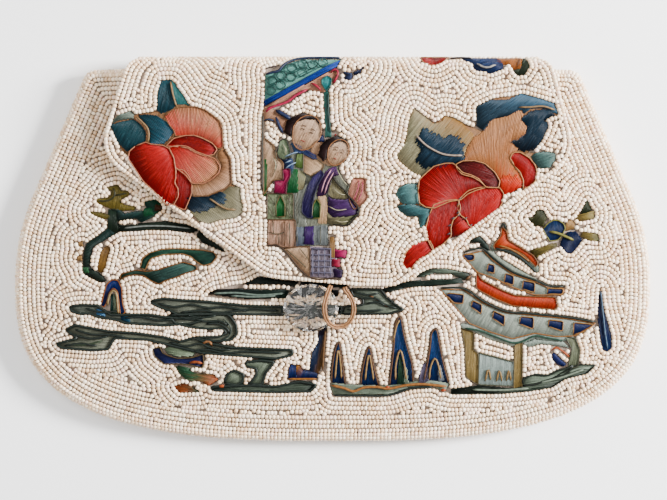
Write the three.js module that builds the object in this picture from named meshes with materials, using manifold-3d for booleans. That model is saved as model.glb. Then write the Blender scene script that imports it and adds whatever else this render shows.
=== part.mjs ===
import * as THREE from 'three';
import { mergeVertices } from 'three/addons/utils/BufferGeometryUtils.js';
import Module from 'manifold-3d';

// A beaded flapper purse lying on its back: a flat envelope bag of bead-covered cloth, whose back folds over
// the mouth as a flap and closes with a cord loop beside a cut-glass button.
// Millimetres. +X runs across the bag, +Y from its bottom to the fold, +Z out of its front.

// The body, seen from the front
const bodyWidth = 228.6;
const bodyHeight = 133.8;
const widestUp = 58;
const bottomFullness = 2.9;
const hipRadius = 75;
const sideLean = 0.43;
const cornerRadius = 5;

// Cloth, beads and the gaps that the stitches between them fill
const clothThickness = 1.0;
const beadThickness = 1.3;
const stitchGap = 0.3;
const embroideryThickness = 0.8;

// The body, seen from the side
const backRim = 4.25;
const frontRim = 3.0;
const bulge = 6.65;
const bulgeFullness = 2.2;
const mouthLift = 2.65;
const mouthLiftReach = 38;

// The fold and the flap
const foldRadius = 6.9;
const foldRise = 4.4;
const flapStartBelowFold = 2.6;
const flapWidth = 170;
const flapOffset = 1.7;
const flapDrop = 83.3;
const flapRide = 0.6;
const flapEase = 0.5;
const clothEdgeInset = 0.6;

// The cut-glass button and the cord loop
const buttonWidth = 19.6;
const buttonHeight = 16.8;
const buttonAcross = -7.6;
const buttonBelowFlap = 6.5;
const buttonThickness = 4.4;
const loopDiameter = 1.7;

// Fineness of the facets
const bottomSteps = 12;
const sideSteps = 3;
const cornerSteps = 3;
const filletSteps = 5;
const foldSteps = 6;
const flapColumns = 10;
const buttonSides = 12;
const loopStepsPerDiameter = 0.7;

// How far the dome has risen at each ring of facets, as shares of the way from the rim to the crown
const domeRings = [0.12, 0.35, 0.65];

// Shallow hollows in the front, below the flap. Lengths are shares of the body's half width
const dents = [
  { across: -0.62, up: 0.24, reach: 0.30, depth: 0.09 },
  { across: 0.58, up: 0.30, reach: 0.26, depth: 0.07 },
  { across: 0.05, up: 0.18, reach: 0.22, depth: 0.05 },
];

// The flap's corners: across as a share of its half width, down from the fold as a share of its drop
const flapCorners = [
  { across: -0.868, down: -0.005, radius: 8 },
  { across: -1.000, down: 0.425, radius: 14 },
  { across: -0.296, down: 0.952, radius: 12 },
  { across: 0.228, down: 1.000, radius: 12 },
  { across: 1.000, down: 0.435, radius: 14 },
  { across: 0.889, down: -0.005, radius: 9 },
];

// Rows of facets down the front of the flap, as shares of the way from the fold's centre to past its tip
const flapRows = [0.08, 0.18, 0.30, 0.42, 0.54, 0.66, 0.78, 0.90, 1.0];

// The glass button's rings of facets: reach as a share of its half width, rise as a share of its thickness
const glassRings = [
  { reach: 0.86, rise: 0 },
  { reach: 1.00, rise: 0.20 },
  { reach: 1.00, rise: 0.34 },
  { reach: 0.64, rise: 0.77 },
  { reach: 0.30, rise: 1.00 },
];

// The loop's route, from the flap's edge over the glass, down onto the beads and back to the edge.
// Across from the bag's centre line, up from the flap's lowest edge, and out from the top of the front's dome
const loopRoute = [
  [-0.7, 1.1, 2.0],
  [-1.3, -0.3, 3.3],
  [-2.2, -2.9, 4.9],
  [-2.8, -5.7, 5.5],
  [-2.6, -8.7, 5.3],
  [-1.6, -11.3, 4.0],
  [0.2, -12.9, 2.5],
  [2.4, -13.3, 1.2],
  [4.8, -12.5, 1.0],
  [6.6, -10.5, 1.0],
  [7.5, -7.7, 1.0],
  [7.2, -4.7, 1.1],
  [5.8, -1.9, 1.3],
  [4.6, -0.3, 1.7],
  [4.2, 0.8, 2.0],
];

// The embroidery is charted on squares that are 1 mm on a bag of this size, and grows with the bag.
// Across counts from the centre line and up from the bottom.
const chart = { width: 228.6, height: 133.8, flapWidth: 170, flapOffset: 1.7, flapDrop: 83.3, foldTop: 138.2 };

const flapMotifs = [
  {
    name: 'left_peony', colour: 0xb8232a,
    outline: [
      [-61.5, 124.5], [-62, 117.5], [-69, 117.5], [-76, 116.8], [-78.8, 113.5], [-77.3, 109.5], [-75, 103.5],
      [-72, 101.5], [-66.5, 93.5], [-56.5, 85.2], [-51.8, 83], [-48, 80], [-44, 78], [-34, 80],
      [-31.6, 83], [-32.8, 91], [-35.6, 92.5], [-36, 101.5], [-38.8, 106], [-38.8, 112.5], [-41, 115.5],
      [-48.5, 119.6], [-51, 120.3], [-53.8, 125], [-57, 129], [-60.5, 129],
    ],
  },
  {
    name: 'right_peony', colour: 0xb01c20,
    outline: [
      [22.8, 102.5], [24.5, 99.5], [31, 95.5], [30, 92.3], [24, 91.3], [22.5, 88.5], [23.5, 82.5], [30.5, 80.5],
      [30.5, 76.8], [33.3, 77], [33.5, 72], [28, 71], [25, 66], [26.3, 62.3], [35.5, 68.8], [49.5, 76.8],
      [57.5, 81.5], [60.5, 88], [66, 90], [71, 91.5], [72.2, 97.8], [76.5, 97.6], [79.2, 101.5], [73.5, 103.6],
      [68.5, 102.5], [71.5, 105], [76, 112], [74.5, 115.5], [80.5, 116], [79.5, 120], [67, 124.5], [57, 123],
      [51, 120.5], [50.8, 116], [52.8, 111], [44, 115], [39, 116.2], [36.5, 114], [28.8, 118.8], [26.5, 108],
    ],
  },
  {
    name: 'figure_group', colour: 0x4d7f74,
    outline: [
      [-24, 131], [-24.5, 117], [-24.5, 90], [-23.2, 76], [-22.9, 70.8], [-18, 69.5], [-8.5, 59.2], [2, 58.9],
      [3.8, 60.5], [2, 63.2], [5.2, 68.3], [0.4, 70], [-1.2, 77.8], [4.8, 77.3], [9.5, 82], [12.8, 87.5],
      [12, 94.2], [7.2, 94.2], [5.5, 89.5], [1.4, 94], [4.5, 98.5], [6.1, 103], [4, 107.8], [-0.6, 110.2],
      [-1, 124.5], [2.5, 131.5], [1, 134], [3.4, 137.2], [-10, 137.4], [-17, 135.6], [-19, 132],
    ],
  },
  {
    name: 'top_petal', colour: 0xa52326,
    outline: [[31.4, 140], [31.6, 136.8], [36, 134.6], [40.6, 136.8], [40.8, 140]],
  },
  {
    name: 'top_blossom', colour: 0x27344f,
    outline: [
      [46.8, 140], [47, 137], [50, 135], [50.2, 132.8], [56, 131.2], [60, 133], [62.5, 133.3], [65, 130.8],
      [68.2, 130.8], [69.6, 134], [69.6, 140],
    ],
  },
];

const frontMotifs = [
  {
    name: 'pine_tree', colour: 0x3d4a38,
    outline: [
      [-86.5, 82.3], [-79.8, 80], [-79.8, 76.5], [-85, 72.8], [-89.8, 71], [-89.5, 66], [-88.5, 60.3], [-83, 57],
      [-80.6, 60], [-75, 58], [-69, 59.8], [-61.5, 57], [-55, 59.8], [-49, 62.3], [-42.5, 64], [-40.5, 66.5],
      [-39, 68.8], [-46, 74.8], [-51, 77.5], [-62, 79.6], [-64, 81], [-60.5, 83.5], [-63, 86.8], [-66.5, 86],
      [-68, 81.2], [-73, 79], [-76.6, 79.4], [-76.4, 82.6], [-70.4, 83], [-70.2, 84.5], [-75, 86], [-72, 89],
      [-76, 92], [-80.3, 91], [-79.2, 87.6], [-83.5, 87], [-84, 84.5], [-80.5, 82.8],
    ],
    hole: [
      [-79.6, 71.5], [-75, 75.2], [-60, 75.4], [-51, 74.6], [-44, 69.8], [-57, 69.6], [-64, 68.3], [-68.4, 64],
      [-73, 61.4], [-78.8, 61.4], [-80.6, 64],
    ],
  },
  {
    name: 'lake_top', colour: 0x35443b,
    outline: [
      [-44.2, 53.2], [-38, 52.2], [-16.8, 51.8], [-14.8, 55], [-12, 57.2], [-20, 58.2], [-26, 59.2],
      [-30, 57], [-36, 56.3],
    ],
  },
  {
    name: 'lake_left', colour: 0x3f5148,
    outline: [
      [-93.8, 48.8], [-90, 46.2], [-85, 45.2], [-79.5, 45], [-74.5, 43], [-60, 42.3], [-50, 43], [-43.5, 41.8],
      [-38.8, 40.4], [-41, 39], [-49, 39.4], [-55, 36.5], [-65, 39], [-75, 39.8], [-85, 41], [-92, 42],
      [-95.5, 40.3], [-91, 36.8], [-96, 36.6], [-98.9, 35.3], [-97, 33.8], [-90, 33], [-80, 33.4],
      [-78, 35.5], [-77.8, 37.8], [-70, 37.6], [-65, 36.4], [-63.8, 32], [-61, 28.4], [-49, 26.9], [-46, 27],
      [-45.8, 32], [-33, 31.3], [-20, 30.4], [-14.2, 31.4], [-14, 33.3], [-36, 34.4], [-38.6, 36.4],
      [-34.6, 38.5], [-34.2, 42], [-36.8, 46], [-17.8, 45.9], [-17.8, 48.7], [-30, 48.9], [-45, 50.5],
      [-61, 51.6], [-64.8, 50.5], [-57.5, 46.4], [-62, 45.9], [-73.6, 46.1], [-74.5, 53], [-76.4, 57],
      [-79.2, 57.2], [-82.2, 53], [-83.6, 48.9],
    ],
  },
  {
    name: 'shore', colour: 0x5d6f63,
    outline: [
      [-37.5, 24.5], [-38.5, 21.6], [-43, 21.4], [-43, 18.9], [-20, 18], [-8.5, 18.2], [-6, 20.5], [-10, 21.5],
      [-16.5, 19.8], [-25.3, 20.4], [-23.8, 25], [-20.6, 28.9], [-30.8, 28.8], [-30.4, 27.6], [-26, 26.4],
      [-31.5, 24.4], [-35, 26],
    ],
  },
  {
    name: 'curved_leaf', colour: 0x2b3454,
    outline: [
      [-15.8, 23], [-5.8, 23], [-4, 27.5], [-3, 34], [-2.3, 41], [-4.2, 41], [-4.8, 36], [-7.6, 32], [-8, 27],
      [-11.4, 26], [-12.6, 28], [-15.3, 27.4],
    ],
  },
  {
    name: 'peaks', colour: 0x2f4a6d,
    outline: [
      [-0.8, 25], [-0.8, 20], [0.3, 17], [20, 17.2], [24.5, 18], [28, 20], [36, 20], [40, 18], [41.6, 21.5],
      [41.5, 27], [38.5, 36.5], [36.8, 40.6], [34.8, 39.5], [33, 30], [30, 23], [28.6, 30], [26, 40],
      [24.2, 45], [22.3, 42.5], [21, 31], [20.3, 21.5], [17, 22.5], [15.6, 28], [13.2, 34.4], [11.5, 33],
      [10, 27], [9.8, 21.2], [5, 22], [4.6, 28], [2.2, 36], [1, 35], [0.2, 30],
    ],
  },
  {
    name: 'pagoda_roof', colour: 0xa65a3f,
    outline: [
      [46, 67.5], [49.5, 64], [51, 61], [50.8, 54.8], [55, 53], [62, 49.5], [70, 47.7], [79.8, 47.5],
      [79.6, 50.4], [82.6, 54.8], [76, 56.2], [72.8, 60.5], [72.6, 64], [66, 70.3], [62, 73], [60.8, 78],
      [59.5, 72], [56.4, 70], [52.5, 73.4],
    ],
  },
  {
    name: 'pagoda_hall', colour: 0x8b8a74,
    outline: [
      [38.2, 54.8], [42, 48], [45.5, 42.5], [47.2, 34], [47.4, 23.5], [52, 20.6], [42.4, 19], [42.4, 17.6],
      [60, 17.8], [70, 18.5], [78.5, 20], [83, 23], [91, 24.8], [93.8, 27.4], [87.6, 28], [88, 34],
      [86.5, 38.2], [90, 38.8], [93.8, 41.5], [84, 44], [70, 45.2], [60.5, 46], [56, 48.3], [50, 52.6],
      [46.5, 54.8],
    ],
    hole: [[50.4, 39.6], [57, 38], [63.4, 36.6], [63.4, 29.4], [52, 32.4], [50.4, 33]],
  },
  {
    name: 'blossom_sprig', colour: 0x2b3d66,
    outline: [
      [69.5, 80.2], [72, 77.4], [74.8, 77], [76, 74], [78.2, 72], [75, 70.4], [70.4, 68.2], [72.5, 66.6],
      [77, 68.8], [81, 69.8], [84.5, 66.8], [88.8, 71], [95, 72], [94, 74.6], [88.4, 75.4], [86.2, 77],
      [88.4, 79.6], [93.6, 80], [93.4, 83.4], [91, 86.5], [88.6, 82.6], [84.6, 79.8], [80, 79.8], [75, 82.8],
      [72.6, 82.8], [71.8, 80.4],
    ],
  },
  {
    name: 'feather', colour: 0x1f3f70,
    outline: [[95.4, 55], [95.2, 42], [96.2, 35], [98.2, 32.3], [100.8, 35.5], [99, 42.5], [96.6, 51]],
  },
  {
    name: 'lake_right', colour: 0x37463c,
    outline: [
      [6.4, 54.8], [7.6, 52.6], [10.4, 51.6], [10.8, 49.4], [4, 48.8], [3.4, 46.1], [20, 46.3], [25, 47.8],
      [18, 51.5], [16, 54], [28, 56], [37, 56.2], [46.5, 56.8], [49, 58], [48, 60.5], [41, 61.8], [35, 62],
      [30, 59.3], [22, 56.4],
    ],
  },
];

const wasm = await Module();
wasm.setup();

// Collects quads of points into one closed solid
class Facets {
  corners = [];

  addTriangle(a, b, c) {
    this.corners.push(a, b, c);
  }

  addQuad(a, b, c, d) {
    this.addTriangle(a, b, c);
    this.addTriangle(a, c, d);
  }

  toSolid() {
    return solidOf(new THREE.BufferGeometry().setFromPoints(this.corners));
  }
}

function solidOf(geometry) {
  const bare = geometry.clone();
  bare.deleteAttribute('normal');
  bare.deleteAttribute('uv');
  const merged = mergeVertices(bare, 1e-4);
  const source = merged.index.array;
  const triangles = [];
  for (let i = 0; i < source.length; i += 3) {
    const [a, b, c] = source.slice(i, i + 3);
    if (a !== b && b !== c && c !== a) triangles.push(a, b, c);
  }
  const vertProperties = new Float32Array(merged.attributes.position.array);
  return new wasm.Manifold(new wasm.Mesh({ numProp: 3, vertProperties, triVerts: new Uint32Array(triangles) }));
}

function meshOf(name, solid, colour, roughness = 0.6) {
  const { vertProperties, triVerts } = solid.getMesh();
  const geometry = new THREE.BufferGeometry();
  geometry.setAttribute('position', new THREE.BufferAttribute(vertProperties, 3));
  geometry.setIndex(new THREE.BufferAttribute(triVerts, 1));
  const mesh = new THREE.Mesh(geometry, new THREE.MeshStandardMaterial({ color: colour, roughness, metalness: 0 }));
  mesh.name = name;
  return mesh;
}

// A straight-walled block over an outline, to cut or keep what lies inside it
function prism(outline, low, high, hole) {
  const shape = new THREE.Shape(outline);
  if (hole) shape.holes.push(new THREE.Path(hole));
  const block = new THREE.ExtrudeGeometry(shape, { depth: high - low, bevelEnabled: false });
  return solidOf(block.translate(0, 0, low));
}

// Moves each point of an outline outwards, or inwards where the amount is negative
function offsetOutline(outline, amount) {
  const turn = Math.sign(THREE.ShapeUtils.area(outline));
  const count = outline.length;
  return outline.map((point, i) => {
    const before = point.clone().sub(outline[(i + count - 1) % count]).normalize();
    const after = outline[(i + 1) % count].clone().sub(point).normalize();
    const out = new THREE.Vector2(before.y + after.y, -before.x - after.x).multiplyScalar(turn).normalize();
    const spread = Math.max(0.6, Math.abs(out.x * after.y - out.y * after.x));
    return point.clone().addScaledVector(out, amount / spread);
  });
}

// An outline with its corners rounded, each to the radius in its row
function roundedOutline(corners) {
  const points = [];
  corners.forEach(({ point, radius }, i) => {
    const toBefore = corners[(i + corners.length - 1) % corners.length].point.clone().sub(point).normalize();
    const toAfter = corners[(i + 1) % corners.length].point.clone().sub(point).normalize();
    const halfAngle = Math.acos(toBefore.dot(toAfter)) / 2;
    const reach = radius / Math.tan(halfAngle);
    const start = point.clone().addScaledVector(toBefore, reach);
    const end = point.clone().addScaledVector(toAfter, reach);
    const bend = new THREE.QuadraticBezierCurve(start, point, end);
    points.push(...bend.getPoints(filletSteps));
  });
  return points;
}

function smoothStep(share) {
  return THREE.MathUtils.smoothstep(share, 0, 1);
}

// The whole bag's heights, in the order that they build on each other
const wall = beadThickness + stitchGap + clothThickness;
const halfWidth = bodyWidth / 2;
const seamUp = backRim + stitchGap;
const foldTop = bodyHeight + foldRise;
const foldCentre = foldTop - foldRadius;
const flapTip = foldTop - flapDrop;
const buttonUp = flapTip - buttonBelowFlap;
const crown = new THREE.Vector2(0, widestUp + 4);
const flapHalf = flapWidth / 2;
const flapCorner = ({ across, down }) => new THREE.Vector2(flapOffset + across * flapHalf, foldTop - down * flapDrop);

// Right side of the body, from the middle of the bottom to where the top corner ends
function rightSide() {
  const points = [];
  for (let i = 0; i <= bottomSteps; i++) {
    const angle = (i / bottomSteps) * (Math.PI / 2);
    const across = halfWidth * Math.sin(angle) ** (2 / bottomFullness);
    const up = widestUp * (1 - Math.max(0, Math.cos(angle)) ** (2 / bottomFullness));
    points.push(new THREE.Vector2(across, up));
  }
  const lean = Math.atan(sideLean);
  const hipCentre = new THREE.Vector2(halfWidth - hipRadius, widestUp);
  for (let i = 1; i <= sideSteps; i++) {
    const angle = (i / sideSteps) * lean;
    points.push(new THREE.Vector2(Math.cos(angle), Math.sin(angle)).multiplyScalar(hipRadius).add(hipCentre));
  }
  const hipTop = points.at(-1);
  const cornerCentreUp = bodyHeight - cornerRadius;
  const cornerStartUp = cornerCentreUp + cornerRadius * Math.sin(lean);
  const cornerStartAcross = hipTop.x - (cornerStartUp - hipTop.y) * sideLean;
  for (let i = 1; i < sideSteps; i++) {
    const share = i / sideSteps;
    const across = THREE.MathUtils.lerp(hipTop.x, cornerStartAcross, share);
    points.push(new THREE.Vector2(across, THREE.MathUtils.lerp(hipTop.y, cornerStartUp, share)));
  }
  const cornerCentre = new THREE.Vector2(cornerStartAcross - cornerRadius * Math.cos(lean), cornerCentreUp);
  for (let i = 0; i <= cornerSteps; i++) {
    const angle = THREE.MathUtils.lerp(lean, Math.PI / 2, i / cornerSteps);
    points.push(new THREE.Vector2(Math.cos(angle), Math.sin(angle)).multiplyScalar(cornerRadius).add(cornerCentre));
  }
  return points;
}

// The mouth's lift fades out over this stretch at each end, just inside the top corners
const rightPoints = rightSide();
const mouthHalf = rightPoints.at(-1).x - 1.5;
const mouthFade = 9;

function bodyOutline() {
  const left = rightPoints.slice(1).reverse().map(({ x, y }) => new THREE.Vector2(-x, y));
  const top = [];
  for (const share of [1, 0.62, 0.2]) top.push(share * (mouthHalf - mouthFade), -share * (mouthHalf - mouthFade));
  top.push(mouthHalf, -mouthHalf);
  top.sort((a, b) => b - a);
  return [...rightPoints, ...top.map((across) => new THREE.Vector2(across, bodyHeight)), ...left];
}

const outline = bodyOutline();
const frontRimLine = offsetOutline(outline, -frontRim);

// How far a point lies on the way from the front's rim, 0, to its crown, 1
function domeShare(across, up) {
  const point = new THREE.Vector2(across, up).sub(crown);
  if (point.lengthSq() < 1e-6) return 1;
  for (let i = 0; i < frontRimLine.length; i++) {
    const a = frontRimLine[i].clone().sub(crown);
    const b = frontRimLine[(i + 1) % frontRimLine.length].clone().sub(crown);
    if (a.cross(point) < -1e-9 || point.cross(b) < -1e-9) continue;
    const edge = b.clone().sub(a);
    const reach = a.cross(edge) / point.cross(edge);
    if (reach > 0) return THREE.MathUtils.clamp(1 - 1 / reach, 0, 1);
  }
  return 0;
}

function liftAt(across, up) {
  const along = smoothStep((up - (bodyHeight - mouthLiftReach)) / mouthLiftReach);
  const side = 1 - smoothStep((Math.abs(across) - (mouthHalf - mouthFade)) / mouthFade);
  return mouthLift * along * side;
}

function dentAt(across, up) {
  let depth = 0;
  for (const dent of dents) {
    const reach = dent.reach * halfWidth;
    const away = Math.hypot(across - dent.across * halfWidth, up - dent.up * halfWidth) / reach;
    depth += dent.depth * bulge * (1 - smoothStep(away));
  }
  return depth;
}

// Height of the beads on the front of the body
function frontHeight(across, up) {
  const dome = 1 - (1 - domeShare(across, up)) ** bulgeFullness;
  return seamUp + frontRim + bulge * dome + liftAt(across, up) - dentAt(across, up) * dome;
}

// Height of the beads on the flap, which rides on the front and leaves it towards the fold
function flapHeight(across, up) {
  const riding = frontHeight(across, up) + flapRide + wall;
  const easing = 2 * foldRadius;
  const high = Math.max(riding, easing);
  return high + flapEase * Math.log(1 + Math.exp(-Math.abs(riding - easing) / flapEase));
}

// Rings of points across one side of a panel, from its edge to its crown. Depth counts inwards from the beads
function frontRings(depth) {
  const rings = [];
  for (const angle of [0, Math.PI / 4, Math.PI / 2]) {
    const inset = offsetOutline(outline, -(frontRim - (frontRim - depth) * Math.cos(angle)));
    const rise = (frontRim - depth) * Math.sin(angle);
    rings.push(inset.map(({ x, y }, i) => {
      const lift = liftAt(outline[i].x, outline[i].y);
      return new THREE.Vector3(x, y, seamUp + rise + lift);
    }));
  }
  for (const share of domeRings) {
    rings.push(frontRimLine.map((point) => {
      const { x, y } = point.clone().lerp(crown, share);
      return new THREE.Vector3(x, y, frontHeight(x, y) - depth);
    }));
  }
  rings.push(outline.map(() => new THREE.Vector3(crown.x, crown.y, frontHeight(crown.x, crown.y) - depth)));
  return rings;
}

function backRings(depth) {
  const rings = [];
  for (const angle of [0, Math.PI / 4, Math.PI / 2]) {
    const inset = offsetOutline(outline, -(backRim - (backRim - depth) * Math.cos(angle)));
    const rise = backRim - (backRim - depth) * Math.sin(angle);
    rings.push(inset.map(({ x, y }) => new THREE.Vector3(x, y, rise)));
  }
  rings.push(outline.map(() => new THREE.Vector3(crown.x, crown.y, depth)));
  return rings;
}

// A closed sheet between two stacks of rings, the upper one facing +Z
function ringSheet(upper, lower) {
  const facets = new Facets();
  const count = upper[0].length;
  for (let j = 0; j < count; j++) {
    const next = (j + 1) % count;
    for (let i = 0; i + 1 < upper.length; i++) {
      facets.addQuad(upper[i][j], upper[i][next], upper[i + 1][next], upper[i + 1][j]);
    }
    for (let i = 0; i + 1 < lower.length; i++) {
      facets.addQuad(lower[i][j], lower[i + 1][j], lower[i + 1][next], lower[i][next]);
    }
    facets.addQuad(lower[0][j], lower[0][next], upper[0][next], upper[0][j]);
  }
  return facets.toSolid();
}

// Rows of points along the flap, from the back, round the fold and down the front
function flapGrid(depth) {
  const columns = Array.from({ length: flapColumns + 1 }, (_, j) => {
    return flapOffset + (2 * j / flapColumns - 1) * (flapHalf + wall);
  });
  const row = (up, height) => columns.map((across) => new THREE.Vector3(across, up, height(across, up)));
  const grid = [row(foldCentre - flapStartBelowFold, () => depth)];
  for (let i = 0; i <= foldSteps; i++) {
    const angle = (i / foldSteps - 0.5) * Math.PI;
    const reach = foldRadius - depth;
    const rise = foldRadius + reach * Math.sin(angle);
    grid.push(row(foldCentre + reach * Math.cos(angle), () => rise));
  }
  const tip = flapTip - wall;
  for (const share of flapRows) {
    const up = THREE.MathUtils.lerp(foldCentre, tip, share);
    grid.push(row(up, (x, y) => flapHeight(x, y) - depth));
  }
  return grid;
}

// A closed sheet between the outer and inner sides of a grid of points
function gridSheet(outer, inner) {
  const facets = new Facets();
  const lastRow = outer.length - 1;
  const lastColumn = outer[0].length - 1;
  for (let i = 0; i < lastRow; i++) {
    for (let j = 0; j < lastColumn; j++) {
      facets.addQuad(outer[i][j], outer[i + 1][j], outer[i + 1][j + 1], outer[i][j + 1]);
      facets.addQuad(inner[i][j], inner[i][j + 1], inner[i + 1][j + 1], inner[i + 1][j]);
    }
    facets.addQuad(outer[i][0], inner[i][0], inner[i + 1][0], outer[i + 1][0]);
    facets.addQuad(outer[i][lastColumn], outer[i + 1][lastColumn], inner[i + 1][lastColumn], inner[i][lastColumn]);
  }
  for (let j = 0; j < lastColumn; j++) {
    facets.addQuad(outer[0][j], outer[0][j + 1], inner[0][j + 1], inner[0][j]);
    facets.addQuad(outer[lastRow][j], inner[lastRow][j], inner[lastRow][j + 1], outer[lastRow][j + 1]);
  }
  return facets.toSolid();
}

// Levels well clear of everything, for blocks that cut right through
const below = -5;
const above = 60;

const flapOutline = roundedOutline(flapCorners.map((row) => ({ point: flapCorner(row), radius: row.radius })));
const clothDepth = beadThickness + stitchGap;
const beadColour = 0xe8ddcd;
const clothColour = 0xcbbfae;
const embroideryTop = beadThickness - embroideryThickness;

// A motif's outline, charted on the body or on the flap, at the bag's own size
function onBody([across, up]) {
  return new THREE.Vector2(across * bodyWidth / chart.width, up * bodyHeight / chart.height);
}

function onFlap([across, up]) {
  const x = flapOffset + (across - chart.flapOffset) * flapWidth / chart.flapWidth;
  return new THREE.Vector2(x, foldTop - (chart.foldTop - up) * flapDrop / chart.flapDrop);
}

// One panel's beads, opened over each motif, with the embroidered patches and the beads that a motif encloses
function embroider(panel, motifs, place, beads, silk, low) {
  const halfGap = stitchGap / 2;
  const meshes = [];
  let open = beads;
  for (const { name, colour, outline: charted, hole } of motifs) {
    const edge = charted.map(place);
    const inner = hole?.map(place);
    const patch = prism(offsetOutline(edge, -halfGap), low, above, inner && offsetOutline(inner, halfGap));
    meshes.push(meshOf(name, silk.intersect(patch), colour, 0.5));
    if (inner) {
      const island = prism(offsetOutline(inner, -halfGap), low, above);
      meshes.push(meshOf(`${name}_beads`, beads.intersect(island), beadColour, 0.35));
    }
    open = open.subtract(prism(offsetOutline(edge, halfGap), low, above));
  }
  return [meshOf(panel, open, beadColour, 0.35), ...meshes];
}

// Back: flat where it lies, curled up to the side seam, and cut away along the mouth, where the flap goes on
function backPanels() {
  const flapStart = foldCentre - flapStartBelowFold;
  const edges = [flapCorners[0], flapCorners.at(-1)].map(({ across }) => across);
  const spread = (foldTop - flapStart) / flapDrop * 0.32;
  const left = flapOffset + (edges[0] - spread) * flapHalf - 1;
  const right = flapOffset + (edges[1] + spread) * flapHalf + 1;
  const start = flapStart - stitchGap;
  const cut = [[left, start], [right, start], [right, foldTop], [left, foldTop]];
  const mouth = prism(cut.map(([across, up]) => new THREE.Vector2(across, up)), below, above);
  return [
    meshOf('back_panel', ringSheet(backRings(wall), backRings(clothDepth)).subtract(mouth), clothColour, 0.9),
    meshOf('back_beadwork', ringSheet(backRings(beadThickness), backRings(0)).subtract(mouth), beadColour, 0.35),
  ];
}

function frontPanels() {
  const cloth = ringSheet(frontRings(clothDepth), frontRings(wall));
  const beads = ringSheet(frontRings(0), frontRings(beadThickness));
  const silk = ringSheet(frontRings(embroideryTop), frontRings(beadThickness));
  return [
    meshOf('front_panel', cloth, clothColour, 0.9),
    ...embroider('front_beadwork', frontMotifs, onBody, beads, silk, below),
  ];
}

// Flap: the back's cloth carried round the fold and down over the front
function flapPanels() {
  const shape = prism(flapOutline, below, above);
  const clothShape = prism(offsetOutline(flapOutline, -clothEdgeInset), below, above);
  const cloth = gridSheet(flapGrid(clothDepth), flapGrid(wall)).intersect(clothShape);
  const beads = gridSheet(flapGrid(0), flapGrid(beadThickness)).intersect(shape);
  const silk = gridSheet(flapGrid(embroideryTop), flapGrid(beadThickness)).intersect(clothShape);
  return [
    meshOf('flap_panel', cloth, clothColour, 0.9),
    ...embroider('flap_beadwork', flapMotifs, onFlap, beads, silk, foldRadius),
  ];
}

// Oval button of clear cut glass, sewn flat on the front below the flap's tip
function glassButton() {
  const seat = frontHeight(buttonAcross, buttonUp + buttonHeight / 2) + stitchGap;
  const rings = glassRings.map(({ reach, rise }, level) => {
    return Array.from({ length: buttonSides }, (_, side) => {
      const angle = ((side + (level % 2) / 2) / buttonSides) * 2 * Math.PI;
      const across = buttonAcross + reach * Math.cos(angle) * buttonWidth / 2;
      const up = buttonUp + reach * Math.sin(angle) * buttonHeight / 2;
      return new THREE.Vector3(across, up, seat + rise * buttonThickness);
    });
  });
  const facets = new Facets();
  for (let level = 0; level + 1 < rings.length; level++) {
    const lower = rings[level];
    const upper = rings[level + 1];
    const shifted = level % 2;
    for (let side = 0; side < buttonSides; side++) {
      const next = (side + 1) % buttonSides;
      facets.addTriangle(lower[side], lower[next], shifted ? upper[next] : upper[side]);
      facets.addTriangle(upper[side], shifted ? lower[side] : lower[next], upper[next]);
    }
  }
  const bottom = rings[0];
  const table = rings.at(-1);
  for (let side = 1; side + 1 < buttonSides; side++) {
    facets.addTriangle(bottom[0], bottom[side + 1], bottom[side]);
    facets.addTriangle(table[0], table[side], table[side + 1]);
  }
  return meshOf('glass_button', facets.toSolid(), 0xd9dcdc, 0.05);
}

function buttonLoop() {
  const crownTop = seamUp + frontRim + bulge;
  const points = loopRoute.map(([x, y, z]) => new THREE.Vector3(x, flapTip + y, crownTop + z));
  const path = new THREE.CatmullRomCurve3(points);
  const section = new THREE.Shape();
  const sides = 8;
  for (let i = 0; i < sides; i++) {
    const angle = (i / sides) * 2 * Math.PI;
    const method = i === 0 ? 'moveTo' : 'lineTo';
    section[method](Math.cos(angle) * loopDiameter / 2, Math.sin(angle) * loopDiameter / 2);
  }
  const steps = Math.round(path.getLength() / loopDiameter * loopStepsPerDiameter);
  const tube = new THREE.ExtrudeGeometry(section, { steps, extrudePath: path, curveSegments: 1 });
  return meshOf('button_loop', solidOf(tube), 0xb98a5e, 0.7);
}

const purse = new THREE.Group();
purse.add(...backPanels(), ...frontPanels(), ...flapPanels(), glassButton(), buttonLoop());
purse.position.y = -foldTop / 2;

export default purse;
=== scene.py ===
# A beaded flapper purse lying on its back: cloth panels, silk embroidery, a field of glass seed beads between
# the motifs, a flap folded over the mouth, and a cord loop over a cut-glass button.
import math

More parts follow.
